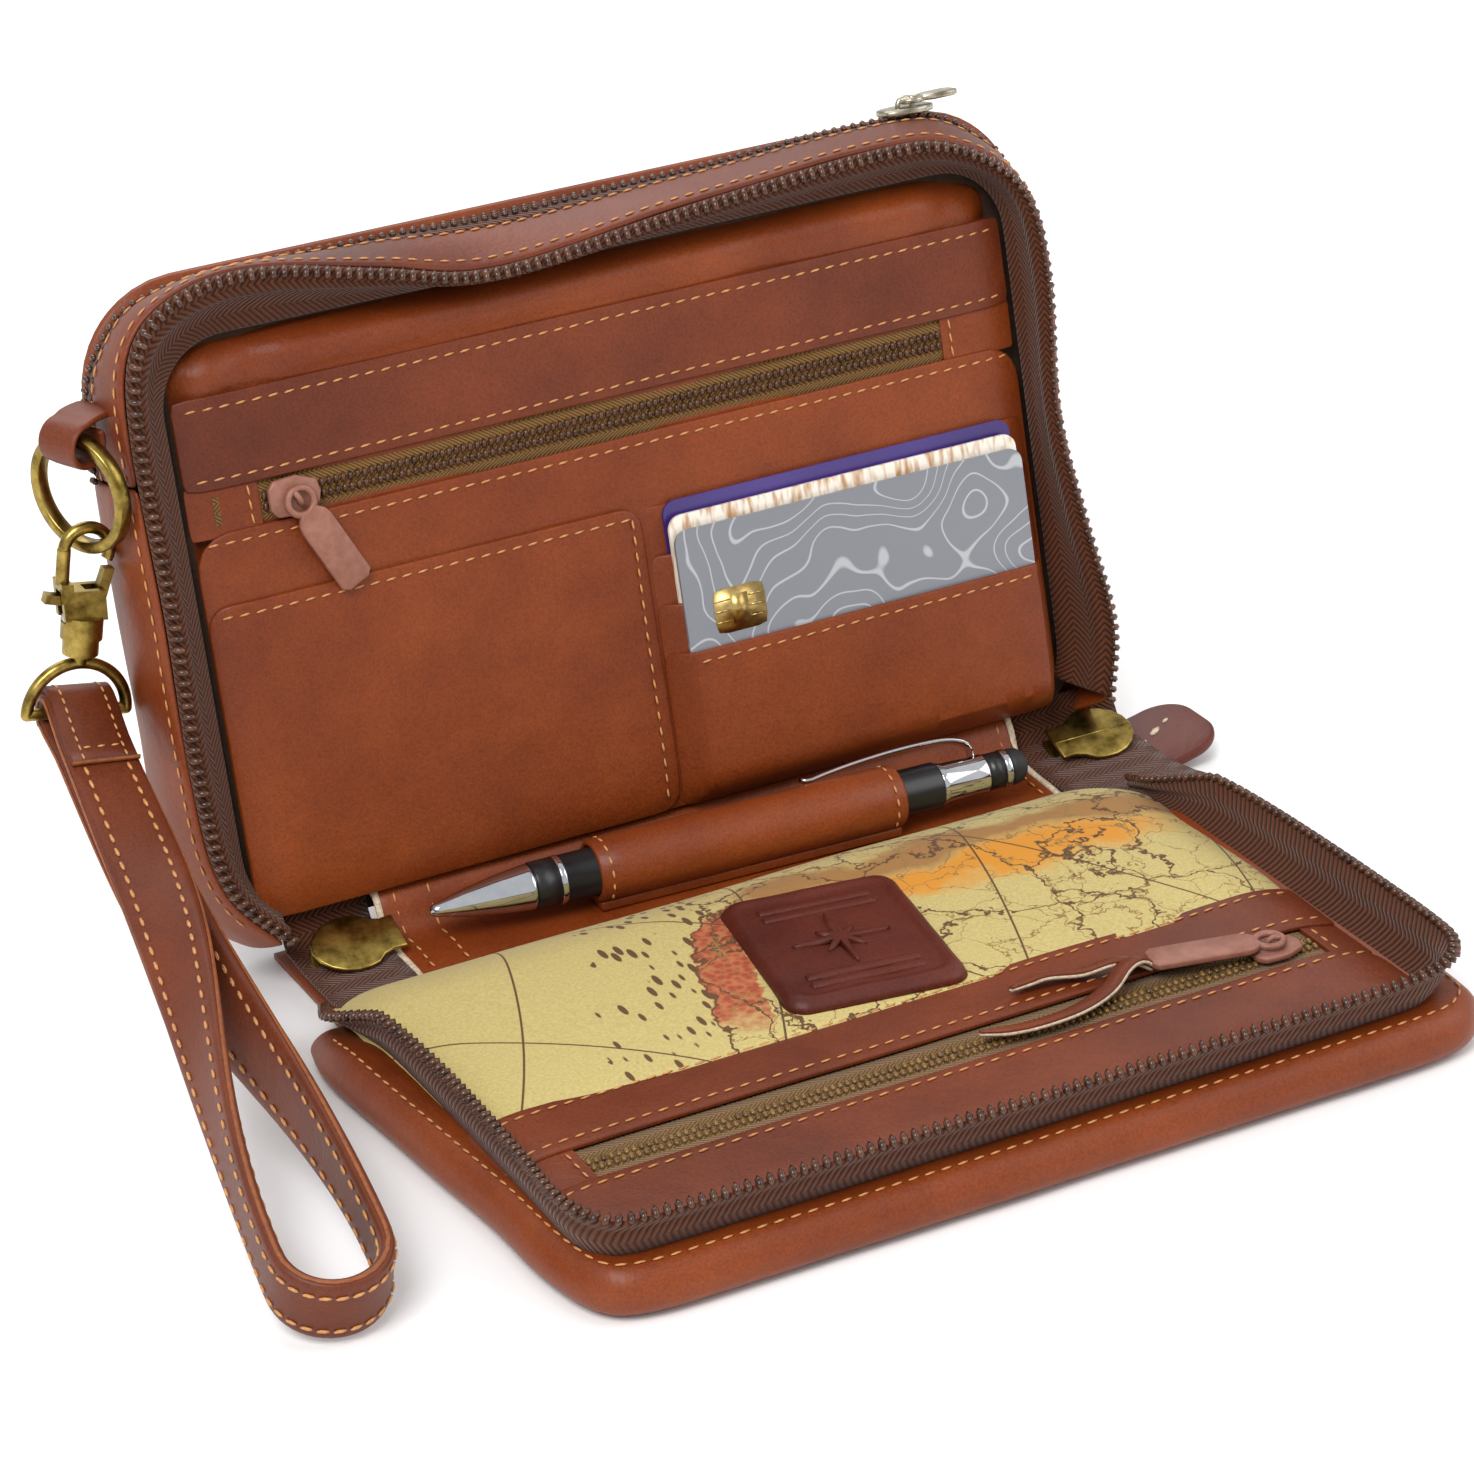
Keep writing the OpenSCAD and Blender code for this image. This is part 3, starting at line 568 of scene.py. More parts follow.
@dataclass(frozen=True)
class MapPrint(Finish):
    """Cotton lining printed with an old-style chart: coasts, rivers, relief and grid lines."""

    name: str = "printed cotton lining with painted shade"
    cloth: str = "#c6b574"
    line: str = "#5a3a16"
    relief: str = "#9a3f22"
    # Painted shade: a brown band along the lining's rear edge, where it dips towards the fold under
    # the pen.
    painted_shade: str = "#9c7038"
    sand: str = "#d08a1e"

    def band(self, tree: bpy.types.NodeTree, value: bpy.types.NodeSocket, centre: float,
             width: float, edge: float) -> bpy.types.NodeSocket:
        """Returns 1 where a value lies within a width of a centre, with a soft edge."""
        off = add_node(tree, "Math", {"operation": "SUBTRACT", 1: centre}, {0: value})
        size = add_node(tree, "Math", {"operation": "ABSOLUTE"}, {0: off.outputs[0]})
        return add_node(tree, "MapRange", {"From Min": width, "From Max": width - edge},
                        {"Value": size.outputs[0]}).outputs["Result"]

    def lay(self, tree: bpy.types.NodeTree, under: bpy.types.NodeSocket, ink: str,
            mask: bpy.types.NodeSocket) -> bpy.types.NodeSocket:
        """Prints an ink over what is under it, where the mask is 1."""
        return add_node(tree, "Mix", {"data_type": "RGBA", 7: linear(ink)},
                        {"Factor": mask, 6: under}).outputs[2]

    def both(self, tree: bpy.types.NodeTree, a: bpy.types.NodeSocket,
             b: bpy.types.NodeSocket) -> bpy.types.NodeSocket:
        """Multiplies two masks."""
        return add_node(tree, "Math", {"operation": "MULTIPLY"}, {0: a, 1: b}).outputs[0]

    def build(self) -> bpy.types.Material:
        """Makes the print: sea with grid arcs on the left, land with rivers on the right; a brown
        band of painted shade lies along its rear edge, where the lining dips under the pen.
        """
        material, tree, shader = self.shader()
        where = add_node(tree, "TexCoord").outputs["Object"]
        wobble = add_node(tree, "TexNoise", {"Scale": 42.0, "Detail": 5.0, "Roughness": 0.62},
                          {"Vector": where})
        shift = add_node(tree, "VectorMath", {"operation": "MULTIPLY_ADD", 1: (0.03, 0.03, 0.03)},
                         {0: wobble.outputs["Color"], 2: where})
        axes = add_node(tree, "SeparateXYZ", None, {"Vector": shift.outputs["Vector"]})
        east, north = axes.outputs["X"], axes.outputs["Y"]
        coast = add_node(tree, "Math", {"operation": "MULTIPLY_ADD", 1: -0.35},
                         {0: north, 2: east}).outputs[0]
        land = add_node(tree, "MapRange", {"From Min": 0.004, "From Max": 0.0042},
                        {"Value": coast}).outputs["Result"]
        weave = add_node(tree, "TexNoise", {"Scale": 1500.0, "Detail": 2.0}, {"Vector": where})
        tone = add_node(tree, "ValToRGB", None, {"Fac": weave.outputs["Fac"]})
        ramp_colours(tone, ((0.3, "#b4a263"), (0.7, self.cloth)))
        colour = tone.outputs["Color"]
        sandy = self.both(tree, self.band(tree, north, -0.041, 0.009, 0.006),
                          self.band(tree, east, 0.065, 0.045, 0.02))
        colour = self.lay(tree, colour, self.sand, sandy)
        # Painted shade, not print: a brown band at the rear edge, where the lining dips under the
        # pen.
        painted_shade_mask = self.both(tree, self.band(tree, north, -0.029, 0.008, 0.005),
                           self.band(tree, east, 0.06, 0.06, 0.01))
        colour = self.lay(tree, colour, self.painted_shade, painted_shade_mask)
        hatch = add_node(tree, "TexVoronoi", {"Scale": 620.0}, {"Vector": where})
        hatched = add_node(tree, "MapRange", {"From Min": 0.75, "From Max": 0.35},
                           {"Value": hatch.outputs["Distance"]}).outputs["Result"]
        ridge = self.both(tree, self.band(tree, coast, 0.009, 0.006, 0.001),
                          self.band(tree, north, -0.052, 0.024, 0.006))
        colour = self.lay(tree, colour, "#b4683c", ridge)
        colour = self.lay(tree, colour, self.relief, self.both(tree, ridge, hatched))
        rivers = add_node(tree, "TexVoronoi", {"feature": "DISTANCE_TO_EDGE", "Scale": 38.0},
                          {"Vector": shift.outputs["Vector"]})
        river = self.band(tree, rivers.outputs["Distance"], 0.0, 0.017, 0.008)
        colour = self.lay(tree, colour, self.line, self.both(tree, river, land))
        paths = add_node(tree, "TexVoronoi", {"feature": "DISTANCE_TO_EDGE", "Scale": 96.0},
                         {"Vector": shift.outputs["Vector"]})
        path = self.band(tree, paths.outputs["Distance"], 0.0, 0.022, 0.012)
        colour = self.lay(tree, colour, "#8d6c35", self.both(tree, path, land))
        ticks = add_node(tree, "TexVoronoi", {"Scale": 430.0, "Randomness": 0.6},
                         {"Vector": add_node(tree, "Mapping", {"Scale": (1.0, 0.32, 1.0),
                          "Rotation": (0.0, 0.0, 0.5)}, {"Vector": where}).outputs["Vector"]})
        tick = self.both(tree, self.band(tree, ticks.outputs["Distance"], 0.0, 0.34, 0.05),
                         self.band(tree, coast, -0.0075, 0.0115, 0.0005))
        colour = self.lay(tree, colour, self.line, tick)
        colour = self.lay(tree, colour, self.line, self.band(tree, coast, 0.004, 0.0005, 0.0002))
        for centre in ((-0.16, -0.2, 0.0), (-0.31, 0.03, 0.0)):
            far = add_node(tree, "VectorMath", {"operation": "DISTANCE", 1: centre}, {0: where})
            wrap = add_node(tree, "Math", {"operation": "PINGPONG", 1: 0.026},
                            {0: far.outputs["Value"]})
            colour = self.lay(tree, colour, self.line,
                              self.band(tree, wrap.outputs[0], 0.0, 0.0003, 0.00012))
        tree.links.new(colour, shader.inputs["Base Color"])
        bump = add_node(tree, "Bump", {"Strength": 0.25, "Distance": 0.0002},
                        {"Height": weave.outputs["Fac"]})
        tree.links.new(bump.outputs["Normal"], shader.inputs["Normal"])
        shader.inputs["Roughness"].default_value = 0.75
        shader.inputs["Sheen Weight"].default_value = 0.1
        return material


COWHIDE = Leather("waxed tan cowhide", "#8f4217", "#702e0d")
STRIP_HIDE = Leather("cut cowhide strip", "#7d3818", "#5a2410", grain=0.8)
STRAP_HIDE = Leather("strap cowhide", "#7c381a", "#5e2811", grain=0.8, roughness=0.46)
PATCH_HIDE = Leather("pressed dark cowhide", "#662818", "#48180f", roughness=0.46, crease=0.5)
# The flesh side and cut edges stay undyed: pale, dry and fibrous.
RAW_HIDE = Smooth("raw cowhide edge", "#dccdb6", "#b39a7c", 0.85, patch=0.8, relief=0.5)
EDGE_PAINT = Smooth("burnished edge", "#93501f", "#733a1a", 0.5, patch=1.2, relief=0.3)
# Bonded nylon thread: a slight sheen on each raised stitch.
THREAD = Smooth("bonded nylon thread", "#d2965c", "#b27a45", 0.5, patch=0.7, relief=0.4)
TAPE = WovenTape("brown polyester zip tape", "#5f331c", "#2b130a")
POCKET_TAPE = WovenTape("khaki polyester zip tape", "#84602f", "#4d3318", band=2.2, rib=1.1)
# Nylon coil: dark and moulded, so each turn catches a small highlight.
COIL = Smooth("brown nylon coil", "#5d3a28", "#2e1a10", 0.22, patch=3.0)
POCKET_COIL = Smooth("bronze nylon coil", "#8d6a36", "#4e3616", 0.25, patch=3.0)
# Antiqued brass: yellow metal with a dark patina left in its low spots.
ANTIQUE_BRASS = Smooth("antique brass", "#b49a52", "#6d5a26", 0.3, 1.0, patch=4.0, relief=0.12)
NICKEL = Smooth("worn nickel plate", "#c8c2b0", "#837a64", 0.28, 1.0, patch=3.0, relief=0.1)
ENAMEL = Smooth("brown baked enamel", "#966455", "#83523f", 0.42, patch=2.5, relief=0.08)
CHROME = Smooth("polished chrome plate", "#d8dade", "#b4b8be", 0.08, 1.0, patch=20.0, relief=0.0)
PEN_BLACK = Smooth("black lacquer", "#1a1a1c", "#0e0e10", 0.3, patch=9.0)
RUBBER = Smooth("black silicone rubber", "#202022", "#151516", 0.6, patch=2.0, relief=0.1)
LINING = Smooth("plain woven lining", "#4a3222", "#33210f", 0.85, patch=0.9, relief=0.4)
CHIP_GOLD = Smooth("gold-plated contact", "#c9ae72", "#a88a4e", 0.3, 1.0, patch=3.0)


# ---------------------------------------------------------------- small hardware

def wire_ring(bm: bmesh.types.BMesh, radius: float, wire: float, place: Matrix,
              steps: int = 32) -> None:
    """Bends a round wire into a ring about the local Z axis."""
    turn = Matrix.Translation((radius, 0, 0)) @ Matrix.Rotation(math.radians(90), 4, "X")
    made = bmesh.ops.create_circle(bm, segments=10, radius=wire, matrix=turn)["verts"]
    edges = list({e for v in made for e in v.link_edges})
    before = set(bm.verts) - set(made)
    bmesh.ops.spin(bm, geom=made + edges, cent=(0, 0, 0), axis=(0, 0, 1), dvec=(0, 0, 0),
                   angle=math.tau, steps=steps, use_merge=True, use_duplicate=False)
    bmesh.ops.transform(bm, matrix=place, verts=[v for v in bm.verts if v not in before])


@dataclass
class SmallZip:
    """A pocket zip's slider and flat pull, drawn flat with the coil along X."""

    place: Matrix
    turn: float
    length: float
    slider_body: str
    pull_body: str
    slider_node: str
    pull_node: str

    def build(self) -> None:
        """Makes the slider, with its bail turned like its pull, and then the pull."""
        bm = bmesh.new()
        nose = ((-5.6, -2.2), (-4.2, -3.9), (1.0, -4.2), (5.2, -2.6), (5.9, 0.0),
                (5.2, 2.6), (1.0, 4.2), (-4.2, 3.9), (-5.6, 2.2))
        plate(bm, nose, 0.0, 1.5, 0.45, self.place)
        turned = self.place @ Matrix.Rotation(math.radians(self.turn), 4, "Z")
        arch = (Matrix.Translation((0, 0, 1.5)) @ Matrix.Rotation(math.radians(90), 4, "X"))
        wire_ring(bm, 1.9, 0.62, turned @ arch, 24)
        finish_piece(bm, self.slider_node + "_enamelled", self.slider_body, ENAMEL.material(),
                     "painted_pull", FLAT, (self.slider_node,))
        bm = bmesh.new()
        lift = turned @ Matrix.Translation((0, 0, 2.95))
        wire_ring(bm, 2.9, 0.75, lift @ Matrix.Translation((1.2, 0, 0)), 28)
        body = ((3.6, -2.0), (5.4, -3.4), (7.0, -3.8), (self.length - 1.2, -3.8),
                (self.length, -2.6), (self.length, 2.6), (self.length - 1.2, 3.8),
                (7.0, 3.8), (5.4, 3.4), (3.6, 2.0))
        plate(bm, body, -0.75, 0.75, 0.4, lift)
        finish_piece(bm, self.pull_node + "_enamelled", self.pull_body, ENAMEL.material(),
                     "painted_pull", FLAT, (self.pull_node,))


def teeth_row(bm: bmesh.types.BMesh, line: Sequence[Vector], up: Callable[[Vector], Vector],
              pitch: float, size: Sequence[float]) -> None:
    """Sets coil turns along a line: half length across it, half width along it, half height."""
    spots = even_line(line, pitch)
    for k, spot in enumerate(spots):
        heading = (spots[min(k + 1, len(spots) - 1)] - spots[max(k - 1, 0)]).normalized()
        normal = up(spot).normalized()
        bead(bm, spot, normal.cross(heading) + 0.16 * heading, normal, size)


# ---------------------------------------------------------------- the leaning case

@dataclass
class Case:
    """The leaning half: its walls, both zips, and the padded cover behind it."""

    seam_v: float = 104.0
    tooth_pitch: float = 2.35

    def __post_init__(self) -> None:
        """Lays out the zip's course and the back edge of the walls, at matching stations."""
        zip_course = ((-94, 8), (-105, 22), (-107.5, 45), (-107, 80), (-107.5, 118),
                      (-104, 136), (-92, 144), (-75, 145), (-50, 139.5), (-25, 134.5),
                      (20, 138.5), (65, 141.5), (84, 139.5), (99, 128), (102.5, 108),
                      (100.5, 78), (104, 52), (108, 28), (105, 11))
        back_edge = ((-99, 4), (-108, 13), (-111, 28), (-111, 60), (-111, 100),
                     (-109.5, 124), (-104, 134), (-91, 141), (-40, 143), (20, 143),
                     (82, 144.5), (100, 138), (108.5, 124), (109, 90), (109, 50),
                     (109, 26), (106, 12), (97, 4))
        self.front = [Vector((*p[:2], 7.6))
                      for p in smooth_line([(*p, 0) for p in zip_course], RIM_STEP)]
        rear = smooth_line([(*p, 0) for p in back_edge], 2)
        share = (len(rear) - 1) / (len(self.front) - 1)
        self.rear = [Vector((*rear[round(k * share)][:2], -14)) for k in range(len(self.front))]

    def outward(self, point: Vector) -> Vector:
        """Returns the direction out of the case's side at a point of its walls."""
        core = Vector((max(-86, min(86, point.x)), max(26, min(122, point.y)), point.z))
        out = point - core
        return out.normalized() if out.length else Vector((0, 1, 0))

    def wall_row(self, k: int, low: float, high: float, count: int = 9) -> list[Vector]:
        """Returns one row across the wall at station k, between two shares of its depth."""
        front = self.front[k] + 1.6 * self.outward(self.front[k])
        row = []
        for i in range(count):
            f = low + (high - low) * i / (count - 1)
            spot = front.lerp(self.rear[k], f)
            swell = 1.3 * math.sin(math.pi * min(1, f)) + 0.5 * noise.noise(spot * 0.035)
            row.append(spot + swell * self.outward(spot))
        return row

    def build_walls(self) -> None:
        """Makes the top strip, the side gussets and the tape of the back zip."""
        above = [k for k, p in enumerate(self.front) if p.y >= self.seam_v]
        left, right = above[0], above[-1]
        for name, stations, low, high, node, hide, slot in (
                ("top_strip_leather", range(left, right + 1), 0.0, 0.66, "top_strip",
                 STRIP_HIDE, "leather_dark"),
                ("gusset_left_leather", range(0, left + 1), 0.0, 1.0, "side_gusset_left",
                 COWHIDE, "leather"),
                ("gusset_right_leather", range(right, len(self.front)), 0.0, 1.0,
                 "side_gusset_right", COWHIDE, "leather"),
                ("back_zip_woven", range(left, right + 1), 0.66, 1.0, "back_zip_tape",
                 TAPE, "zip_tape")):
            bm = bmesh.new()
            loft(bm, [self.wall_row(k, low, high) for k in stations])
            piece = finish_piece(bm, name, "case", hide.material(), slot, FACE, (node,))
            thickness(piece, 1.4, 0.0)
            subdivide(piece)
        bm = bmesh.new()
        for depth in (0.8, 0.87):
            line = [self.wall_row(k, depth, depth + 0.01, 2)[0] for k in range(left, right + 1)]
            line = [p + 1.1 * self.outward(p) for p in line]
            teeth_row(bm, line, self.outward, self.tooth_pitch, (1.2, 0.8, 0.8))
        finish_piece(bm, "back_zip_coil", "case", COIL.material(), "zip_teeth", FACE,
                     ("back_zip_teeth",))

    def build_zip(self) -> None:
        """Makes the main zip's half on the case: tape, corded edge and coil."""
        rows = []
        for p in self.front:
            core = Vector((max(-84, min(84, p.x)), max(24, min(119, p.y)), 0))
            low = core + (Vector((p.x, p.y, 0)) - core).normalized() * 14.5
            top = Vector((p.x, p.y, 9.4))
            lift = (Vector((0, 0, 1)) - self.outward(p)).normalized()
            row = [low.lerp(top, f) + h * lift for f, h in
                   ((0, 0), (0.3, -0.9), (0.55, -0.7), (0.7, 0.1), (0.76, 0.9), (0.84, 0.9),
                    (0.9, 0.1), (1.0, 0))]
            rows.append(row + [top + 1.6 * self.outward(p) - Vector((0, 0, 1.6))])
        bm = bmesh.new()
        loft(bm, rows)
        piece = finish_piece(bm, "case_zip_woven", "case", TAPE.material(), "zip_tape", FACE,
                             ("main_zip_tape_case",))
        thickness(piece, 0.8, 0.0)
        subdivide(piece)
        bm = bmesh.new()
        line = [Vector((p.x, p.y, 10.2)) + 0.4 * self.outward(p) for p in self.front]
        teeth_row(bm, line, lambda p: Vector((0, 0, 1)) + 0.7 * self.outward(p),
                  self.tooth_pitch, (1.75, 0.86, 1.0))
        finish_piece(bm, "case_zip_coil_turns", "case", COIL.material(), "zip_teeth", FACE,
                     ("main_zip_teeth_case",))

    def build_cover(self) -> None:
        """Makes the padded back cover and the plain lining behind the pocket panel."""
        def back(x: float, y: float, level: float) -> float:
            """Returns the cover's depth: full in the middle, rolled over at its rim."""
            return -14 - 7.4 * (1 - level ** 5) + 0.35 * noise.noise(Vector((x, y, 0)) * 0.03)
        bm = bmesh.new()
        padded_sheet(bm, (0, 74.5), (110.3, 70.8), 23, back)
        piece = finish_piece(bm, "back_cover_padded", "case", COWHIDE.material(), "leather",
                             FACE, ("back_panel", "back_stiffener"))
        thickness(piece, 1.5, 0.0)
        bm = bmesh.new()
        padded_sheet(bm, (0, 72), (106, 66), 20, lambda x, y, level: -4.0, (16, 12))
        piece = finish_piece(bm, "partition_cloth", "case", LINING.material(), "lining", FACE,
                             ("partition_lining",))
        thickness(piece, 1.0, 0.0)

    def sew(self) -> None:
        """Sews the rows along the strip's two edges and its corner with the gussets."""
        bm = bmesh.new()
        above = [k for k, p in enumerate(self.front) if p.y >= self.seam_v]
        for depth in (0.1, 0.6):
            line = [self.wall_row(k, depth, depth + 0.01, 2)[0] for k in above]
            stitches(bm, [p + 0.8 * self.outward(p) for p in line], self.outward)
        for run in (range(2, above[0]), range(above[-1], len(self.front) - 2)):
            line = [self.wall_row(k, 0.1, 0.11, 2)[0] for k in run]
            stitches(bm, [p + 0.8 * self.outward(p) for p in line], self.outward)
        finish_piece(bm, "case_wall_stitches", "case", THREAD.material(), "leather", FACE)

    def build_back_slider(self) -> None:
        """Makes the plated slider on top and its swinging pull."""
        place = (FACE @ Matrix.Translation((84, 146.3, -10.6))
                 @ Matrix.Rotation(math.radians(-90), 4, "X") @ Matrix.Scale(1 / MM, 4))
        place = place @ FLAT
        bm = bmesh.new()
        nose = ((-6, -2.6), (-4, -4), (3, -4.2), (6, -2), (6, 2), (3, 4.2), (-4, 4), (-6, 2.6))
        plate(bm, nose, 0.0, 1.5, 0.4, Matrix.Identity(4))
        arch = Matrix.Translation((0, 0, 1.6)) @ Matrix.Rotation(math.radians(90), 4, "X")
        wire_ring(bm, 1.8, 0.6, arch, 24)
        finish_piece(bm, "back_slider_plated", "back_slider_body", NICKEL.material(), "nickel",
                     place, ("back_slider",))
        bm = bmesh.new()
        lift = Matrix.Translation((1.6, 0, 2.8))
        wire_ring(bm, 2.4, 0.7, lift, 28)
        body = ((2.0, -1.9), (4.5, -3), (9.6, -3), (10.8, -1.8), (10.8, 1.8), (9.6, 3),
                (4.5, 3), (2.0, 1.9))
        plate(bm, body, -0.65, 0.65, 0.35, lift)
        finish_piece(bm, "back_pull_plated", "back_pull_body", NICKEL.material(), "nickel",
                     place, ("back_pull",))

    def build(self) -> None:
        """Makes the whole of the case's outside."""
        self.build_walls()
        self.build_zip()
        self.build_cover()
        self.sew()
        self.build_back_slider()


@dataclass
class PocketPanel:
    """The padded panel in the case with its slip, zip, wide and card pockets."""

    half: float = 98.5
    fold_top: float = 122.0
    window: tuple[float, float, float, float] = (-82.0, 79.0, 93.5, 102.5)
    id_top: float = 78.5
    tier_top: float = 77.5
    tier_step: float = 10.7

    def rim_drop(self, u: float, v: float) -> float:
        """Returns how far the panel falls back near its rim."""
        side = max(0.0, (abs(u) - 86) / 12)
        foot = max(0.0, (22 - v) / 12)
        head = max(0.0, (v - 124) / 9)
        return 2.2 * side ** 2 + 1.6 * foot ** 2 + 2.6 * head ** 2

    def surface(self, u: float, v: float) -> float:
        """Returns the panel's own surface: softly waved, with a dimple in each top corner."""
        wave = 0.45 * noise.noise(Vector((u * 0.03, v * 0.05, 0)))
        puff = 2.4 * math.exp(-((v - 128) / 5.0) ** 2)
        dimple = sum(-depth * math.exp(-((u - cu) ** 2 + (v - cv) ** 2) / spread)
                     for cu, cv, depth, spread in ((-80, 127, 2.6, 40), (86, 127, 2.8, 34),
                                                   (38, 126, 1.0, 60)))
        return 0.4 + wave + puff + dimple - self.rim_drop(u, v)

    def pocket(self, name: str, span: tuple[float, float, float, float], lift: float,
               nodes: Sequence[str], radius: float = 1.6, hide: Leather = COWHIDE,
               reach: float = 0.0, body: str = "case") -> None:
        """Makes one flat pocket face that follows the panel.

        Args:
            name: the piece's name.
            span: its left, right, lower and upper edges.
            lift: its height over the panel.
            nodes: the CAD nodes it stands for.
            radius: its corner radius.
            hide: its leather.
            reach: how far its sides and foot fall back, over the cards behind it.
            body: the body it rides on.
        """
        u0, u1, v0, v1 = span

        def height(u: float, v: float, level: float) -> float:
            """Returns the face's height, falling back at its sewn edges."""
            near = min(1.0, max(0.0, min(u - u0, u1 - u, v - v0)) / 5.0)
            near = near * near * (3 - 2 * near)
            wave = 0.3 * noise.noise(Vector((u * 0.04, v * 0.04, lift)))
            return 0.9 + lift + wave - self.rim_drop(u, v) - reach * (1 - near)
        bm = bmesh.new()
        padded_sheet(bm, ((u0 + u1) / 2, (v0 + v1) / 2), ((u1 - u0) / 2, (v1 - v0) / 2),
                     radius, height, (56, max(8, round((v1 - v0) / 3))))
        piece = finish_piece(bm, name, body, hide.material(), "leather", FACE, nodes)
        thickness(piece, 1.1, 0.0)
        rounded_edges(piece, 0.45, 3)

    def row(self, bm: bmesh.types.BMesh, a: tuple[float, float], b: tuple[float, float],
            lift: float) -> None:
        """Sews one straight row on the panel between two points, at a height over it."""
        count = 24
        line = []
        for k in range(count + 1):
            u, v = a[0] + (b[0] - a[0]) * k / count, a[1] + (b[1] - a[1]) * k / count
            line.append(Vector((u, v, 0.9 + lift + 0.55 - self.rim_drop(u, v)
                                + 0.3 * noise.noise(Vector((u * 0.04, v * 0.04, lift))))))
        stitches(bm, line, lambda p: Vector((0, 0, 1)))

    def build(self) -> None:
        """Makes the panel, its pockets, the zip in its window and all their stitches."""
        bm = bmesh.new()
        padded_sheet(bm, (0, 71.2), (self.half, 62.4), 14,
                     lambda u, v, level: self.surface(u, v) - 5.5 * max(0, level - 0.93) / 0.07,
                     (96, 64))
        piece = finish_piece(bm, "panel_padded", "case", COWHIDE.material(), "leather", FACE,
                             ("pocket_panel",))
        thickness(piece, 1.4, 0.0)
        left, right, low, high = self.window
        edge = self.half - 1.2
        self.pocket("slip_pocket_leather", (-edge, edge, high, self.fold_top), 1.0,
                    ("upper_slip_pocket",), 1.6, STRIP_HIDE)
        self.pocket("facing_leather", (-edge, edge, 10.5, low), 1.0, ("panel_facing",), 8)
        self.pocket("window_end_left", (-edge, left, low - 1, high + 1), 0.4,
                    ("window_end_leather",), 0.8)
        self.pocket("window_end_right", (right, edge, low - 1, high + 1), 0.4, (), 0.8)
        self.pocket("wide_pocket_leather", (-edge, 1.2, 10.5, self.id_top), 2.3, ("id_pocket",),
                    5, COWHIDE, 0.6)
        for n in range(4):
            self.pocket(f"card_tier_leather_{n + 1}",
                        (2.0, edge - 1, 10.5, self.tier_top - n * self.tier_step),
                        1.9 + 2.0 * n, (f"card_tier_{n + 1}",), 2.2, COWHIDE, 0.9 + 1.9 * n)
        self.build_window()
        bm = bmesh.new()
        top = self.fold_top - 2.6
        for (a, b, lift) in (((-edge + 2, top), (edge - 2, top), 1.0),
                             ((-edge + 2, high + 2.2), (edge - 2, high + 2.2), 1.0),
                             ((-edge + 2, low - 2.2), (edge - 2, low - 2.2), 1.0),
                             ((left - 2.2, low), (left - 2.2, high), 0.4),
                             ((right + 2.2, low), (right + 2.2, high), 0.4),
                             ((-edge + 2, self.id_top - 2.4), (-1, self.id_top - 2.4), 2.3),
                             ((-1.2, self.id_top - 2), (-2.2, 13), 2.3)):
            self.row(bm, a, b, lift)
        for n in range(4):
            top = self.tier_top - n * self.tier_step - 2.3
            self.row(bm, (7, top), (edge - 7, top), 1.9 + 2.0 * n)
        finish_piece(bm, "panel_stitches", "case", THREAD.material(), "leather", FACE)

    def build_window(self) -> None:
        """Makes the pocket zip: tape, its double coil, slider and pull."""
        left, right, low, high = self.window
        mid = (low + high) / 2
        bm = bmesh.new()
        rows = [[Vector((u, v, 0.75 + (0.5 if abs(v - mid) < 3 else 0)))
                 for v in (mid - 7, mid - 4, mid - 2.8, mid, mid + 2.8, mid + 4, mid + 7)]
                for u in range(-92, 94, 6)]
        loft(bm, rows)
        piece = finish_piece(bm, "pocket_zip_woven", "case", POCKET_TAPE.material(),
                             "pocket_tape", FACE, ("case_zip_tape",))
        thickness(piece, 0.6, 0.0)
        bm = bmesh.new()
        for v in (mid - 1.15, mid + 1.15):
            teeth_row(bm, [Vector((left + 1, v, 1.9)), Vector((right - 1, v, 1.9))],
                      lambda p: Vector((0, 0, 1)), 1.6, (1.25, 0.62, 0.7))
        finish_piece(bm, "pocket_zip_coil", "case", COIL.material(), "zip_teeth", FACE,
                     ("case_zip_coil",))
        place = (FACE @ Matrix.Translation((-75, mid, 2.3)))
        SmallZip(FLAT.inverted() @ place, -64, 23, "case_slider_body", "case_pull_body",
                 "case_slider", "case_pull").build()


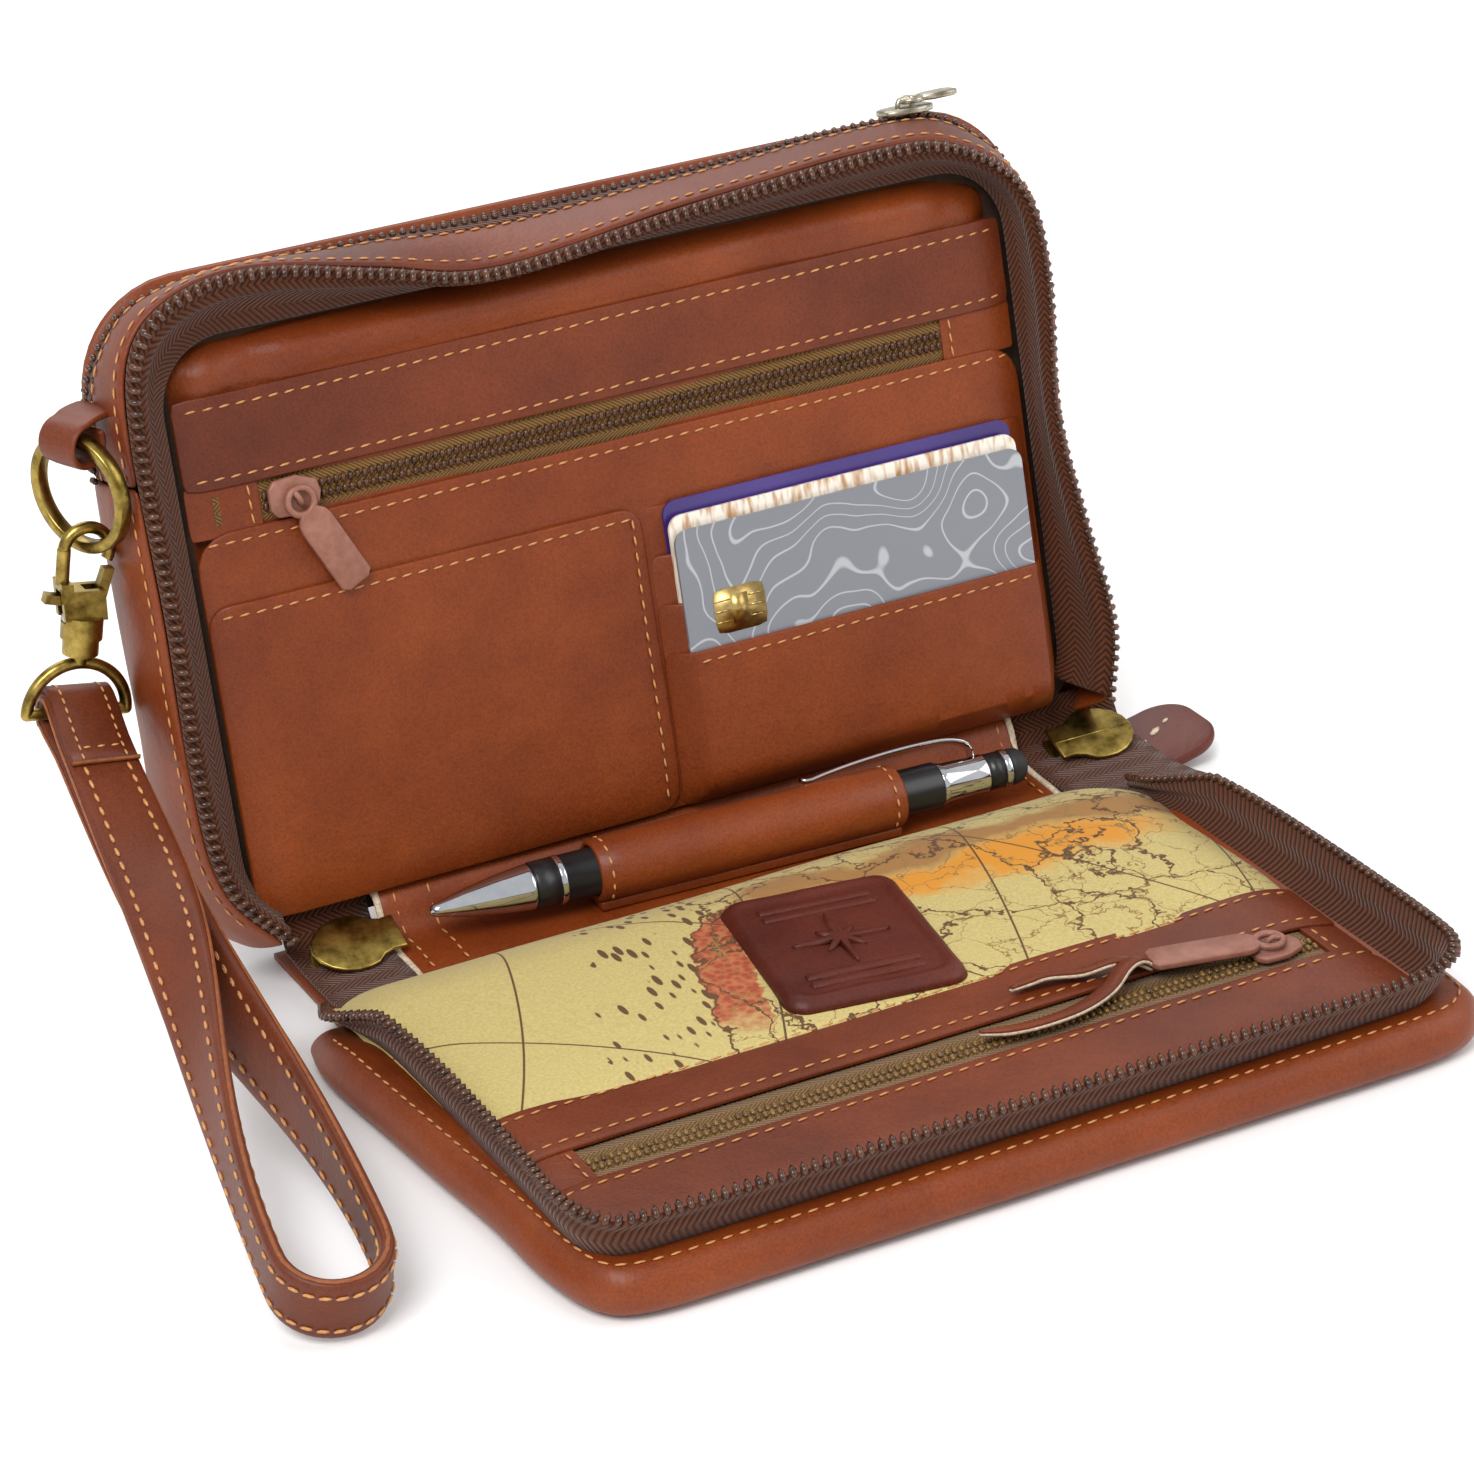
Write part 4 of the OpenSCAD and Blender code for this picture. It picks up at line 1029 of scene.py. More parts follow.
@dataclass
class Cards:
    """Three plain payment cards that stand in the tiers."""

    def build(self, nodes: dict) -> None:
        """Gives the cards their prints, and the front one its contact plate."""
        prints = {
            "card_back": CardFace("violet card stock", "#37246a", "#45307c", CardPrint.PLAIN),
            "card_middle": CardFace("wood-print card stock", "#efe6d8", "#b98a58", CardPrint.WOOD),
            "card_front": CardFace("grey chart card stock", "#7b7e85", "#aeb1b6",
                                   CardPrint.CONTOURS)}
        for node, finish in prints.items():
            mesh = nodes[node].data
            mesh.materials.clear()
            mesh.materials.append(finish.material())
        bm = bmesh.new()
        place = Matrix.Translation((19, 52.5, 8.0))
        outline = [round_corner(a, b, 6.2, 4.9, 1.6) for a, b in
                   ((-1, -1), (-0.6, -1), (0, -1), (0.6, -1), (1, -1), (1, -0.5), (1, 0.5), (1, 1),
                    (0.6, 1), (0, 1), (-0.6, 1), (-1, 1), (-1, 0.5), (-1, -0.5))]
        plate(bm, [(p.x, p.y) for p in outline], 0.0, 0.12, 0.0, place)
        for x0, x1, y0, y1 in ((-2, 2, -3.2, 3.2), (-6, -2.3, -0.2, 0.2), (2.3, 6, -0.2, 0.2),
                               (-6, -2.3, 2.2, 2.5), (2.3, 6, 2.2, 2.5),
                               (-6, -2.3, -2.5, -2.2), (2.3, 6, -2.5, -2.2)):
            plate(bm, ((x0, y0), (x1, y0), (x1, y1), (x0, y1)), 0.12, 0.2, 0.0, place)
        finish_piece(bm, "card_contact_plate", "card_3", CHIP_GOLD.material(), "card_grey", FACE)


# ---------------------------------------------------------------- the fold and the pen

@dataclass
class Fold:
    """The leather fold, its zip tapes and sliders, and the tab beside them."""

    strip_left: float = -71.0
    strip_right: float = 84.0

    def sheet(self, name: str, xs: Sequence[float], profile: Sequence[Sequence[float]],
              material: bpy.types.Material, slot: str, depth: float, nodes: Sequence[str],
              body: str) -> bpy.types.Object:
        """Makes a sheet from one (y, z) profile, repeated at each x."""
        bm = bmesh.new()
        loft(bm, [[Vector((x, y, z)) for y, z in profile] for x in xs])
        piece = finish_piece(bm, name, body, material, slot, FLAT, nodes)
        thickness(piece, depth, 0.0)
        return piece

    def build(self) -> None:
        """Makes the fold's layers, its stitches, the sliders and the tab."""
        base = [(y, 0.85) for y in range(10, -38, -2)]
        piece = self.sheet("fold_leather", range(-92, 101, 8), base, COWHIDE.material(),
                           "leather", 1.3, ("spine_leather",), "")
        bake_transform(piece)
        bed = ((-26.5, 2.4), (-23, 3.2), (-17, 3.7), (-10, 3.8), (-4, 4.2), (-1, 6.2), (0.6, 10.4),
               (2.4, 12.9), (5.6, 13.5))
        xs = [self.strip_left + (self.strip_right - self.strip_left) * k / 24 for k in range(25)]
        piece = self.sheet("fold_strip", xs, bed, COWHIDE.material(), "leather", 1.2,
                           ("spine_liner",), "case")
        subdivide(piece)
        bm = bmesh.new()
        for x in (self.strip_left, self.strip_right):
            rows = [[Vector((x + d, y, z + h)) for y, z in bed]
                    for d, h in ((-0.7, -0.5), (-0.7, 0.62), (0.7, 0.62), (0.7, -0.5))]
            loft(bm, rows, closed=True)
        finish_piece(bm, "fold_strip_raw_ends", "case", RAW_HIDE.material(), "leather")
        bm = bmesh.new()
        for x in (self.strip_left + 3.6, self.strip_left + 11.5, self.strip_right - 3.6):
            stitches(bm, [Vector((x + (0.6 if k % 2 else 0), y, z + 0.75))
                          for k, (y, z) in enumerate(bed)], lambda p: Vector((0, -0.2, 1)))
        finish_piece(bm, "fold_stitches", "case", THREAD.material(), "leather")
        corner = ((6, 14), (4.5, 9), (2, 5.2), (-6, 4.4), (-14, 4.4), (-22, 4.6), (-30, 6),
                  (-38, 8), (-44, 9.5))
        for name, xs in (("corner_tape_left", range(-92, -69, 4)),
                         ("corner_tape_right", range(85, 114, 4))):
            piece = self.sheet(name, xs, corner, TAPE.material(), "zip_tape", 0.8, (), "")
            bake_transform(piece)
        self.build_slider("main_slider_left", "slider_left", (-79.6, -5.0), 180, False)
        self.build_slider("main_slider_right", "slider_right", (101.2, -4.3), 0, True)
        self.build_tab()

    def build_slider(self, node: str, body: str, at: Sequence[float], turn: float,
                     creased: bool) -> None:
        """Makes one main slider: two shield-shaped plates on a post.

        Args:
            node: the CAD node it stands for.
            body: its body.
            at: where its middle lies on the fold.
            turn: its turn about the vertical, in degrees.
            creased: whether a worn crease runs along its upper plate.
        """
        shield = [(-10, 4.6), (-7, 4.4), (-4.6, 5.2), (-2.6, 6.9), (-0.4, 7.4), (2.4, 7.4),
                  (5.2, 6.6), (7.6, 5.0), (9.3, 2.8), (10, 0)]
        outline = shield + [(x, -y) for x, y in reversed(shield[:-1])]
        place = (Matrix.Translation((*at, 4.1)) @ Matrix.Rotation(math.radians(22), 4, "X")
                 @ Matrix.Rotation(math.radians(turn), 4, "Z"))
        bm = bmesh.new()
        for low in (0.0, 3.8):
            plate(bm, outline, low, low + 1.2, 0.4, place)
        post = [(3 * math.cos(a) - 5.2, 2 * math.sin(a))
                for a in (math.tau * k / 16 for k in range(16))]
        plate(bm, post, 1.0, 4.2, 0.0, place)
        if creased:
            plate(bm, ((-9.6, -0.18), (9.4, -0.18), (9.4, 0.18), (-9.6, 0.18)), 4.9, 5.12, 0.0,
                  place)
        finish_piece(bm, node + "_brass", body, ANTIQUE_BRASS.material(), "antique_brass", FLAT,
                     (node,))

    def build_tab(self) -> None:
        """Makes the rounded leather tab with its stitched slit."""
        def rise(x: float, y: float, level: float) -> float:
            """Returns the tab's height: it curls up away from the fold."""
            return 1.5 + 4.6 * max(0.0, (x - 104) / 24) ** 1.5 + 0.7 * (1 - level ** 4)
        bm = bmesh.new()
        padded_sheet(bm, (116.2, -8.2), (12.2, 12), 8.5, rise, (24, 24))
        piece = finish_piece(bm, "side_tab_leather", "case", PATCH_HIDE.material(), "leather",
                             FLAT, ("grab_tab",))
        thickness(piece, 2.2, 0.0)
        rounded_edges(piece, 0.8, 3)
        bm = bmesh.new()
        bead(bm, Vector((117, -7, rise(117, -7, 0.2) + 1.2)), Vector((1, 0.5, 0.2)),
             Vector((0, 0, 1)), (2.0, 0.9, 0.4))
        for d in (-4.2, 4.0):
            bead(bm, Vector((117 + d, -7 + d * 0.5, rise(117 + d, -7, 0.3) + 1.15)),
                 Vector((1, 0.5, 0.1)), Vector((0, 0, 1)), (1.2, 0.5, 0.35))
        finish_piece(bm, "side_tab_slit", "case", RAW_HIDE.material(), "leather")


@dataclass
class Pen:
    """A twist pen with a stylus end, held in a stitched leather sleeve."""

    axis: Matrix = Matrix.Translation((0, -13.6, 12.6)) @ Matrix.Rotation(math.radians(-3), 4, "Z")

    def turned(self, name: str, profiles: Sequence[Sequence[Sequence[float]]],
               finish: Finish, slot: str, nodes: Sequence[str]) -> None:
        """Turns the pen's parts of one finish."""
        bm = bmesh.new()
        for profile in profiles:
            lathe(bm, profile, self.axis, 72)
        finish_piece(bm, name, "pen", finish.material(), slot, FLAT, nodes)

    def build(self) -> None:
        """Makes the pen, its clip, and the sleeve on the fold."""
        cone = ((-64, 0), (-63.9, 0.8), (-62.6, 1.5), (-62, 1.6), (-56, 3.0), (-49, 4.2),
                (-42, 5.0), (-41, 5.0), (-41, 0))
        thin_ring = ((-35.6, 0), (-35.6, 5.25), (-35.3, 5.35), (-34.5, 5.35), (-34.2, 5.25),
                     (-34.2, 0))
        upper = ((55, 0), (55, 4.6), (55.4, 4.8), (56.5, 4.5), (64, 4.2), (66.2, 4.4),
                 (66.6, 4.2), (66.6, 0))
        end_ring = ((70.6, 0), (70.6, 4.1), (71, 4.25), (71.9, 4.25), (72.2, 4.1), (72.2, 0))
        self.turned("pen_chrome_parts", (cone, thin_ring, upper, end_ring), CHROME,
                    "pen_chrome", ())
        barrel = ((-41, 0), (-41, 5.1), (-40.6, 5.25), (-35.6, 5.25), (-35.6, 0))
        hidden = ((-34.2, 0), (-34.2, 5.2), (54.6, 5.2), (55, 5.0), (55, 0))
        band = ((66.6, 0), (66.6, 4.1), (70.6, 4.1), (70.6, 0))
        self.turned("pen_lacquered_barrel", (barrel, hidden, band), PEN_BLACK, "pen_black",
                    ("pen_barrel",))
        dome = ((72.2, 0), (72.2, 3.6), (73.2, 4.1), (74.8, 3.9), (76, 3.0), (76.8, 1.6), (77, 0))
        self.turned("pen_stylus_tip", (dome,), RUBBER, "pen_black", ())
        bm = bmesh.new()
        course = ((64.6, 0, 3.6), (64.8, 0, 6.2), (63, 0, 8.0), (58, 0, 9.2), (48, 0, 9.4),
                  (38, 0, 8.9), (30, 0, 8.1), (26.5, 0, 7.6), (24.6, 0, 8.0))
        rows = []
        for p in smooth_line(course, 1.2):
            half = 2.1 if p.x > 34 else 1.2 + 0.09 * (p.x - 24)
            rows.append([p + Vector((0, y, z)) for y, z in
                         ((-half, 0), (-half * 0.6, 0.5), (0, 0.66), (half * 0.6, 0.5),
                          (half, 0), (half * 0.7, -0.45), (-half * 0.7, -0.45))])
        loft(bm, rows, ring=True)
        bmesh.ops.holes_fill(bm, edges=bm.edges, sides=0)
        bmesh.ops.transform(bm, matrix=self.axis @ Matrix.Rotation(math.radians(-35), 4, "X"),
                            verts=bm.verts)
        finish_piece(bm, "pen_clip_chrome", "pen", CHROME.material(), "pen_chrome", FLAT,
                     ("pen_clip",))
        self.build_sleeve()

    def build_sleeve(self) -> None:
        """Makes the sleeve: a rolled leather tube with a sewn foot and a row at each end."""
        bm = bmesh.new()
        tube = ((-27, 5.6), (-27.2, 6.3), (-26.8, 6.8), (-20, 6.95), (-5, 7.05), (15, 6.9),
                (30, 7.05), (44.6, 6.85), (45.2, 6.3), (45, 5.6), (20, 5.6), (-5, 5.6),
                (-27, 5.6))
        lathe(bm, tube, self.axis, 48)
        foot = [(-26.6, -4), (44.6, -4), (44.6, 4), (-26.6, 4)]
        plate(bm, foot, -8.2, -5.9, 0.5, self.axis)
        finish_piece(bm, "pen_sleeve_leather", "case", COWHIDE.material(), "leather", FLAT,
                     ("pen_sleeve",))
        bm = bmesh.new()
        for x in (-24.6, 42.6):
            loop = [self.axis @ Vector((x, 7.0 * math.cos(a), 7.0 * math.sin(a)))
                    for a in (math.radians(d) for d in range(-50, 231, 8))]
            centre = self.axis @ Vector((x, 0, 0))
            stitches(bm, loop, lambda p, c=centre: p - c, 3.0)
        finish_piece(bm, "pen_sleeve_stitches", "case", THREAD.material(), "leather")


# ---------------------------------------------------------------- the flap

@dataclass
class Flap:
    """The half that lies in front: a padded shell with a zip wall round a printed lining."""

    half: float = 105.0
    front: float = -158.3
    zip_z: float = 22.0

    def __post_init__(self) -> None:
        """Lays out the shell's edge and the zip's course."""
        edge = ((-102, -34), (-104.5, -50), (-102, -86), (-99.5, -116), (-98.5, -138),
                (-95.5, -150.5), (-87, -157.2), (-60, -158.3), (60, -158.3), (92, -157.8),
                (101.5, -153), (105, -142), (105, -60), (103, -34))
        course = ((-96, -28), (-100.5, -42), (-97, -56), (-95, -85), (-95.3, -120),
                  (-96, -140), (-92.5, -151), (-83, -154.6), (-40, -155.6), (20, -156.4),
                  (70, -156.6), (90, -155), (99, -148.5), (101.5, -137), (101.5, -100),
                  (100, -70), (97, -52), (95, -40), (97, -29))
        self.edge = smooth_line([(*p, 0) for p in edge], RIM_STEP)
        self.course = [Vector((p.x, p.y, self.zip_z - 0.42 * max(0.0, p.y + 60)))
                       for p in smooth_line([(*p, 0) for p in course], RIM_STEP)]

    def outward(self, point: Vector) -> Vector:
        """Returns the direction out of the flap's side at a point of its rim."""
        core = Vector((max(-90, min(90, point.x)), max(-143, min(40, point.y)), point.z))
        out = point - core
        return out.normalized() if out.length else Vector((0, -1, 0))

    def build(self) -> None:
        """Makes the whole flap."""
        self.build_shell()
        self.build_zip()
        self.build_lining()
        self.build_pocket()
        self.build_patch()
        self.build_thong()

    def build_shell(self) -> None:
        """Makes the padded rim, the outer leather under it and the rim's stitches."""
        profile = ((-14, 2.4), (-7, 1.8), (-2.6, 1.1), (-0.7, 2.6), (0, 5.0), (-0.8, 7.6),
                   (-2.6, 9.8), (-4.6, 10.5), (-5.6, 10.2), (-7.0, 10.4), (-9.5, 9.6), (-14, 8.6))
        bm = bmesh.new()
        rows = []
        for p in self.edge:
            puff = 0.4 * noise.noise(p * 0.05)
            low = max(0.0, (p.y + 52) / 18)
            rows.append([p + (o + puff * (z > 2)) * self.outward(p)
                         + Vector((0, 0, z * (1 - 0.45 * low))) for o, z in profile])
        loft(bm, rows)
        piece = finish_piece(bm, "flap_rim_leather", "flap", COWHIDE.material(), "leather", FLAT,
                             ("flap_shell", "flap_padding"))
        thickness(piece, 1.2, 0.0)
        subdivide(piece)
        bm = bmesh.new()
        padded_sheet(bm, (1.5, -94.8), (96, 59.2), 16, lambda x, y, level: 0.65, (24, 16))
        piece = finish_piece(bm, "flap_outer_leather", "flap", COWHIDE.material(), "leather")
        thickness(piece, 1.3, 0.0)
        bm = bmesh.new()
        line = [p - 3.9 * self.outward(p)
                + Vector((0, 0, 11.0 * (1 - 0.45 * max(0, (p.y + 52) / 18))))
                for p in self.edge[2:-2]]
        stitches(bm, line, lambda p: Vector((0, 0, 1)))
        finish_piece(bm, "flap_rim_stitches", "flap", THREAD.material(), "leather")

    def build_zip(self) -> None:
        """Makes the flap's half of the main zip: a standing tape and its coil."""
        rows = []
        for p in self.course:
            core = Vector((max(-84, min(87, p.x)), max(-139.5, p.y if p.y > -139.5 else -139.5), 0))
            out = Vector((p.x, p.y, 0)) - core
            top = p - Vector((0, 0, 1.2))
            low = core + out.normalized() * 9.4 + Vector((0, 0, min(8.6, top.z - 3)))
            rows.append([low.lerp(top, f) + h * self.outward(p) for f, h in
                         ((0, -1.5), (0.2, -0.3), (0.45, 0.2), (0.64, 0), (0.72, -0.8),
                          (0.82, -0.8), (0.9, 0), (1.0, 0))])
        bm = bmesh.new()
        loft(bm, rows)
        piece = finish_piece(bm, "flap_zip_woven", "flap", TAPE.material(), "zip_tape", FLAT,
                             ("main_zip_tape_flap",))
        thickness(piece, 1.0, 0.0)
        subdivide(piece)
        bm = bmesh.new()
        teeth_row(bm, [p - Vector((0, 0, 0.6)) for p in self.course],
                  lambda p: Vector((0, 0, 1)) + 0.3 * self.outward(p), 2.35, (1.7, 0.86, 1.05))
        finish_piece(bm, "flap_zip_coil_turns", "flap", COIL.material(), "zip_teeth", FLAT,
                     ("main_zip_teeth_flap",))

    def lining_height(self, x: float, y: float) -> float:
        """Returns the stuffed lining's height: crowned, and falling to the fold and sides."""
        side = max(0.0, (abs(x) - 80) / 15)
        rear = max(0.0, (y + 44) / 22)
        crown = 1.6 * math.cos(math.pi * (y + 62) / 90) * math.cos(math.pi * x / 230)
        wave = 0.7 * noise.noise(Vector((x * 0.02, y * 0.03, 3)))
        return 12.2 + crown + wave - 3.4 * side ** 2 - 7.2 * rear ** 1.7

    def build_lining(self) -> None:
        """Makes the printed lining over the pocket's padding."""
        bm = bmesh.new()
        padded_sheet(bm, (0, -60), (95.5, 38), 7, lambda x, y, level: self.lining_height(x, y),
                     (96, 40))
        piece = finish_piece(bm, "map_lining", "", MapPrint().material(), "print", FLAT,
                             ("flap_lining",))
        thickness(piece, 0.8, 0.0)
        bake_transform(piece)

    def strip(self, name: str, span: Sequence[float], z: float, nodes: Sequence[str],
              finish: Finish, slot: str, radius: float = 1.0) -> None:
        """Makes one flat strip across the flap.

        Args:
            name: the piece's name.
            span: its left, right, front and rear edges.
            z: its height.
            nodes: the CAD nodes it stands for.
            finish: its finish.
            slot: its material slot.
            radius: its corner radius.
        """
        x0, x1, y0, y1 = span

        def height(x: float, y: float, level: float) -> float:
            """Returns the strip's height, lower at the flap's sides and front."""
            side = max(0.0, (abs(x) - 82) / 14)
            fore = max(0.0, (-140 - y) / 9)
            wave = 0.35 * noise.noise(Vector((x * 0.03, y * 0.05, 7)))
            return z + wave - 2.6 * side ** 2 - 2.2 * fore ** 2
        bm = bmesh.new()
        padded_sheet(bm, ((x0 + x1) / 2, (y0 + y1) / 2), ((x1 - x0) / 2, (y1 - y0) / 2), radius,
                     height, (64, 12))
        piece = finish_piece(bm, name, "flap", finish.material(), slot, FLAT, nodes)
        thickness(piece, 1.2, 0.0)
        rounded_edges(piece, 0.45, 3)

    def build_pocket(self) -> None:
        """Makes the leather band, the zip pocket's tape, coil and facing, and their rows."""
        self.strip("flap_band_leather", (-95, 95, -112.6, -95), 12.4, ("flap_band",), STRIP_HIDE,
                   "leather_dark")
        self.strip("flap_pocket_tape", (-94, 94, -126, -111.5), 10.7, ("flap_zip_tape",),
                   POCKET_TAPE, "pocket_tape")
        self.strip("flap_facing_leather", (-95, 95, -149, -124.4), 12.2, ("flap_facing",),
                   STRIP_HIDE, "leather_dark", 7)
        self.strip("flap_window_end_left", (-95, -80, -126, -111.5), 11.7, (), STRIP_HIDE,
                   "leather_dark")
        self.strip("flap_window_end_right", (86, 95, -126, -111.5), 11.7, (), STRIP_HIDE,
                   "leather_dark")
        bm = bmesh.new()
        for y in (-119.65, -117.35):
            teeth_row(bm, [Vector((-79, y, 11.6)), Vector((85, y, 11.6))],
                      lambda p: Vector((0, 0, 1)), 1.6, (1.25, 0.62, 0.7))
        finish_piece(bm, "flap_pocket_coil", "flap", POCKET_COIL.material(), "zip_teeth", FLAT,
                     ("flap_zip_coil",))
        bm = bmesh.new()
        for a, b, z in (((-93, -97.6), (93, -97.6), 13.1), ((-93, -110), (93, -110), 13.1),
                        ((-93, -127), (93, -127), 12.9), ((-82, -124), (-82, -113), 12.4),
                        ((88, -124), (88, -113), 12.3)):
            line = []
            for k in range(33):
                x, y = a[0] + (b[0] - a[0]) * k / 32, a[1] + (b[1] - a[1]) * k / 32
                side = max(0.0, (abs(x) - 82) / 14)
                wave = 0.35 * noise.noise(Vector((x * 0.03, y * 0.05, 7)))
                line.append(Vector((x, y, z + wave - 2.6 * side ** 2)))
            stitches(bm, line, lambda p: Vector((0, 0, 1)))
        finish_piece(bm, "flap_pocket_stitches", "flap", THREAD.material(), "leather_dark")
        place = Matrix.Translation((76, -118.5, 12.3))
        SmallZip(place, 167, 27, "flap_slider_body", "flap_pull_body", "flap_slider",
                 "flap_pull").build()

    def build_patch(self) -> None:
        """Makes the pressed leather patch: a raised rim round a plain compass emblem."""
        place = Matrix.Translation((1.5, -71, 13.9)) @ Matrix.Rotation(math.radians(-8.5), 4, "Z")

        def pressed(x: float, y: float, level: float) -> float:
            """Returns the patch's relief: soft edge, raised rim and a lower field."""
            rim = 0.75 * math.exp(-((level - 0.9) / 0.05) ** 2)
            return 0.9 + rim + 0.25 * noise.noise(Vector((x, y, 0)) * 0.12) - 1.6 * max(
                0.0, (level - 0.96) / 0.04)
        bm = bmesh.new()
        padded_sheet(bm, (0, 0), (19.4, 24), 4.5, pressed, (64, 72))
        star = []
        for k in range(16):
            reach = (9.5, 2.0, 5.2, 2.0)[k % 4]
            star.append((reach * math.sin(math.tau * k / 16), reach * math.cos(math.tau * k / 16)))
        plate(bm, star, 0.7, 1.75, 0.3, Matrix.Identity(4))
        for y in (-16.5, -13.2, 13.2, 16.5):
            plate(bm, ((-12, y - 0.8), (12, y - 0.8), (12, y + 0.8), (-12, y + 0.8)), 0.7, 1.5,
                  0.3, Matrix.Identity(4))
        bmesh.ops.recalc_face_normals(bm, faces=bm.faces)
        piece = finish_piece(bm, "patch_pressed_leather", "flap", PATCH_HIDE.material(),
                             "leather_dark", FLAT @ place, ("flap_patch",))
        thickness(piece, 0.9, 0.0)

    def build_thong(self) -> None:
        """Makes the leather lace looped through the flap's pull, with its two cut tails."""
        tails = (((49.5, -112.2, 14.2), (46, -111.4, 16.4), (42, -110, 16.6), (36, -108.4, 15.4),
                  (28, -106.4, 15.8), (20.5, -107.2, 15.2)),
                 ((50, -112.4, 14.2), (46.5, -113, 17.2), (42.4, -114.4, 17.2),
                  (37, -117.2, 15.2), (28, -120.6, 14.9), (17, -120.8, 14.6),
                  (6.5, -119, 15.0)))
        for name, half, drop, finish, slot in (
                ("thong_leather", 2.0, 0.0, STRIP_HIDE, "leather_dark"),
                ("thong_raw_side", 2.3, 0.62, RAW_HIDE, "leather")):
            bm = bmesh.new()
            for course in tails:
                line = smooth_line(course, 1.2)
                rows = []
                for k, p in enumerate(line):
                    ahead = (line[min(k + 1, len(line) - 1)] - line[max(k - 1, 0)]).normalized()
                    side = ahead.cross(Vector((0, 0.3, 1))).normalized()
                    narrow = min(1.0, 0.15 + (len(line) - 1 - k) / 5)
                    rows.append([p + side * half * narrow * f - Vector((0, 0, drop + 0.35 * f * f))
                                 for f in (-1, -0.5, 0, 0.5, 1)])
                loft(bm, rows)
            piece = finish_piece(bm, name, "flap_pull_body", finish.material(), slot)
            thickness(piece, 0.6, 0.0)


# ---------------------------------------------------------------- the wrist strap

@dataclass
class StrapHardware:
    """The ring, its leather tab, and the antiqued hook and eye."""

    centre: tuple[float, float, float] = (-118.0, 24.5, 109.0)
    turn: float = -65.0

    def build(self, nodes: dict) -> None:
        """Makes the ring and its tab, and gives the hook's metal parts their finish."""
        frame = (Matrix.Translation(self.centre) @ Matrix.Rotation(math.radians(self.turn), 4, "Z")
                 @ Matrix.Rotation(math.radians(90), 4, "X"))
        bm = bmesh.new()
        section = ((-1.3, 10.6), (-1.6, 10.9), (-1.6, 12.6), (-1.3, 12.95), (1.3, 12.95),
                   (1.6, 12.6), (1.6, 10.9), (1.3, 10.6), (-1.3, 10.6))
        upright = Matrix.Rotation(math.radians(90), 4, "Y")
        lathe(bm, section, frame @ upright, 72)
        finish_piece(bm, "strap_ring_brass", "ring", ANTIQUE_BRASS.material(), "antique_brass",
                     FLAT, ("strap_ring",))
        for node in ("snap_hook", "hook_gate", "swivel_eye"):
            nodes[node].data.materials.clear()
            nodes[node].data.materials.append(ANTIQUE_BRASS.material())
        nodes["gate_spring"].data.materials.clear()
        nodes["gate_spring"].data.materials.append(NICKEL.material())
        self.build_tab()

    def build_tab(self) -> None:
        """Makes the leather roll that carries the ring."""
        place = (Matrix.Translation((*self.centre[:2], self.centre[2] + 10.8))
                 @ Matrix.Rotation(math.radians(self.turn), 4, "Z"))
        rows = []
        for x in (-6.0, -5.4, -3, 0, 2.4, 3.6, 4.0):
            swell = 0.3 if -5 < x < 3.8 else 0.0
            arc = [(4.1 + swell) * Vector((0, math.cos(a), math.sin(a)))
                   for a in (math.radians(d) for d in range(80, 391, 14))]
            rows.append([Vector((x, 9.2, 4.6)), Vector((x, 5, 4.9)), Vector((x, 2, 4.8))]
                        + [Vector((x, p.y, p.z)) for p in arc])
        bm = bmesh.new()
        loft(bm, rows)
        piece = finish_piece(bm, "ring_tab_leather", "case", STRAP_HIDE.material(), "leather",
                             FLAT @ place, ("strap_tab",))
        thickness(piece, 1.3, 0.0)
        subdivide(piece)


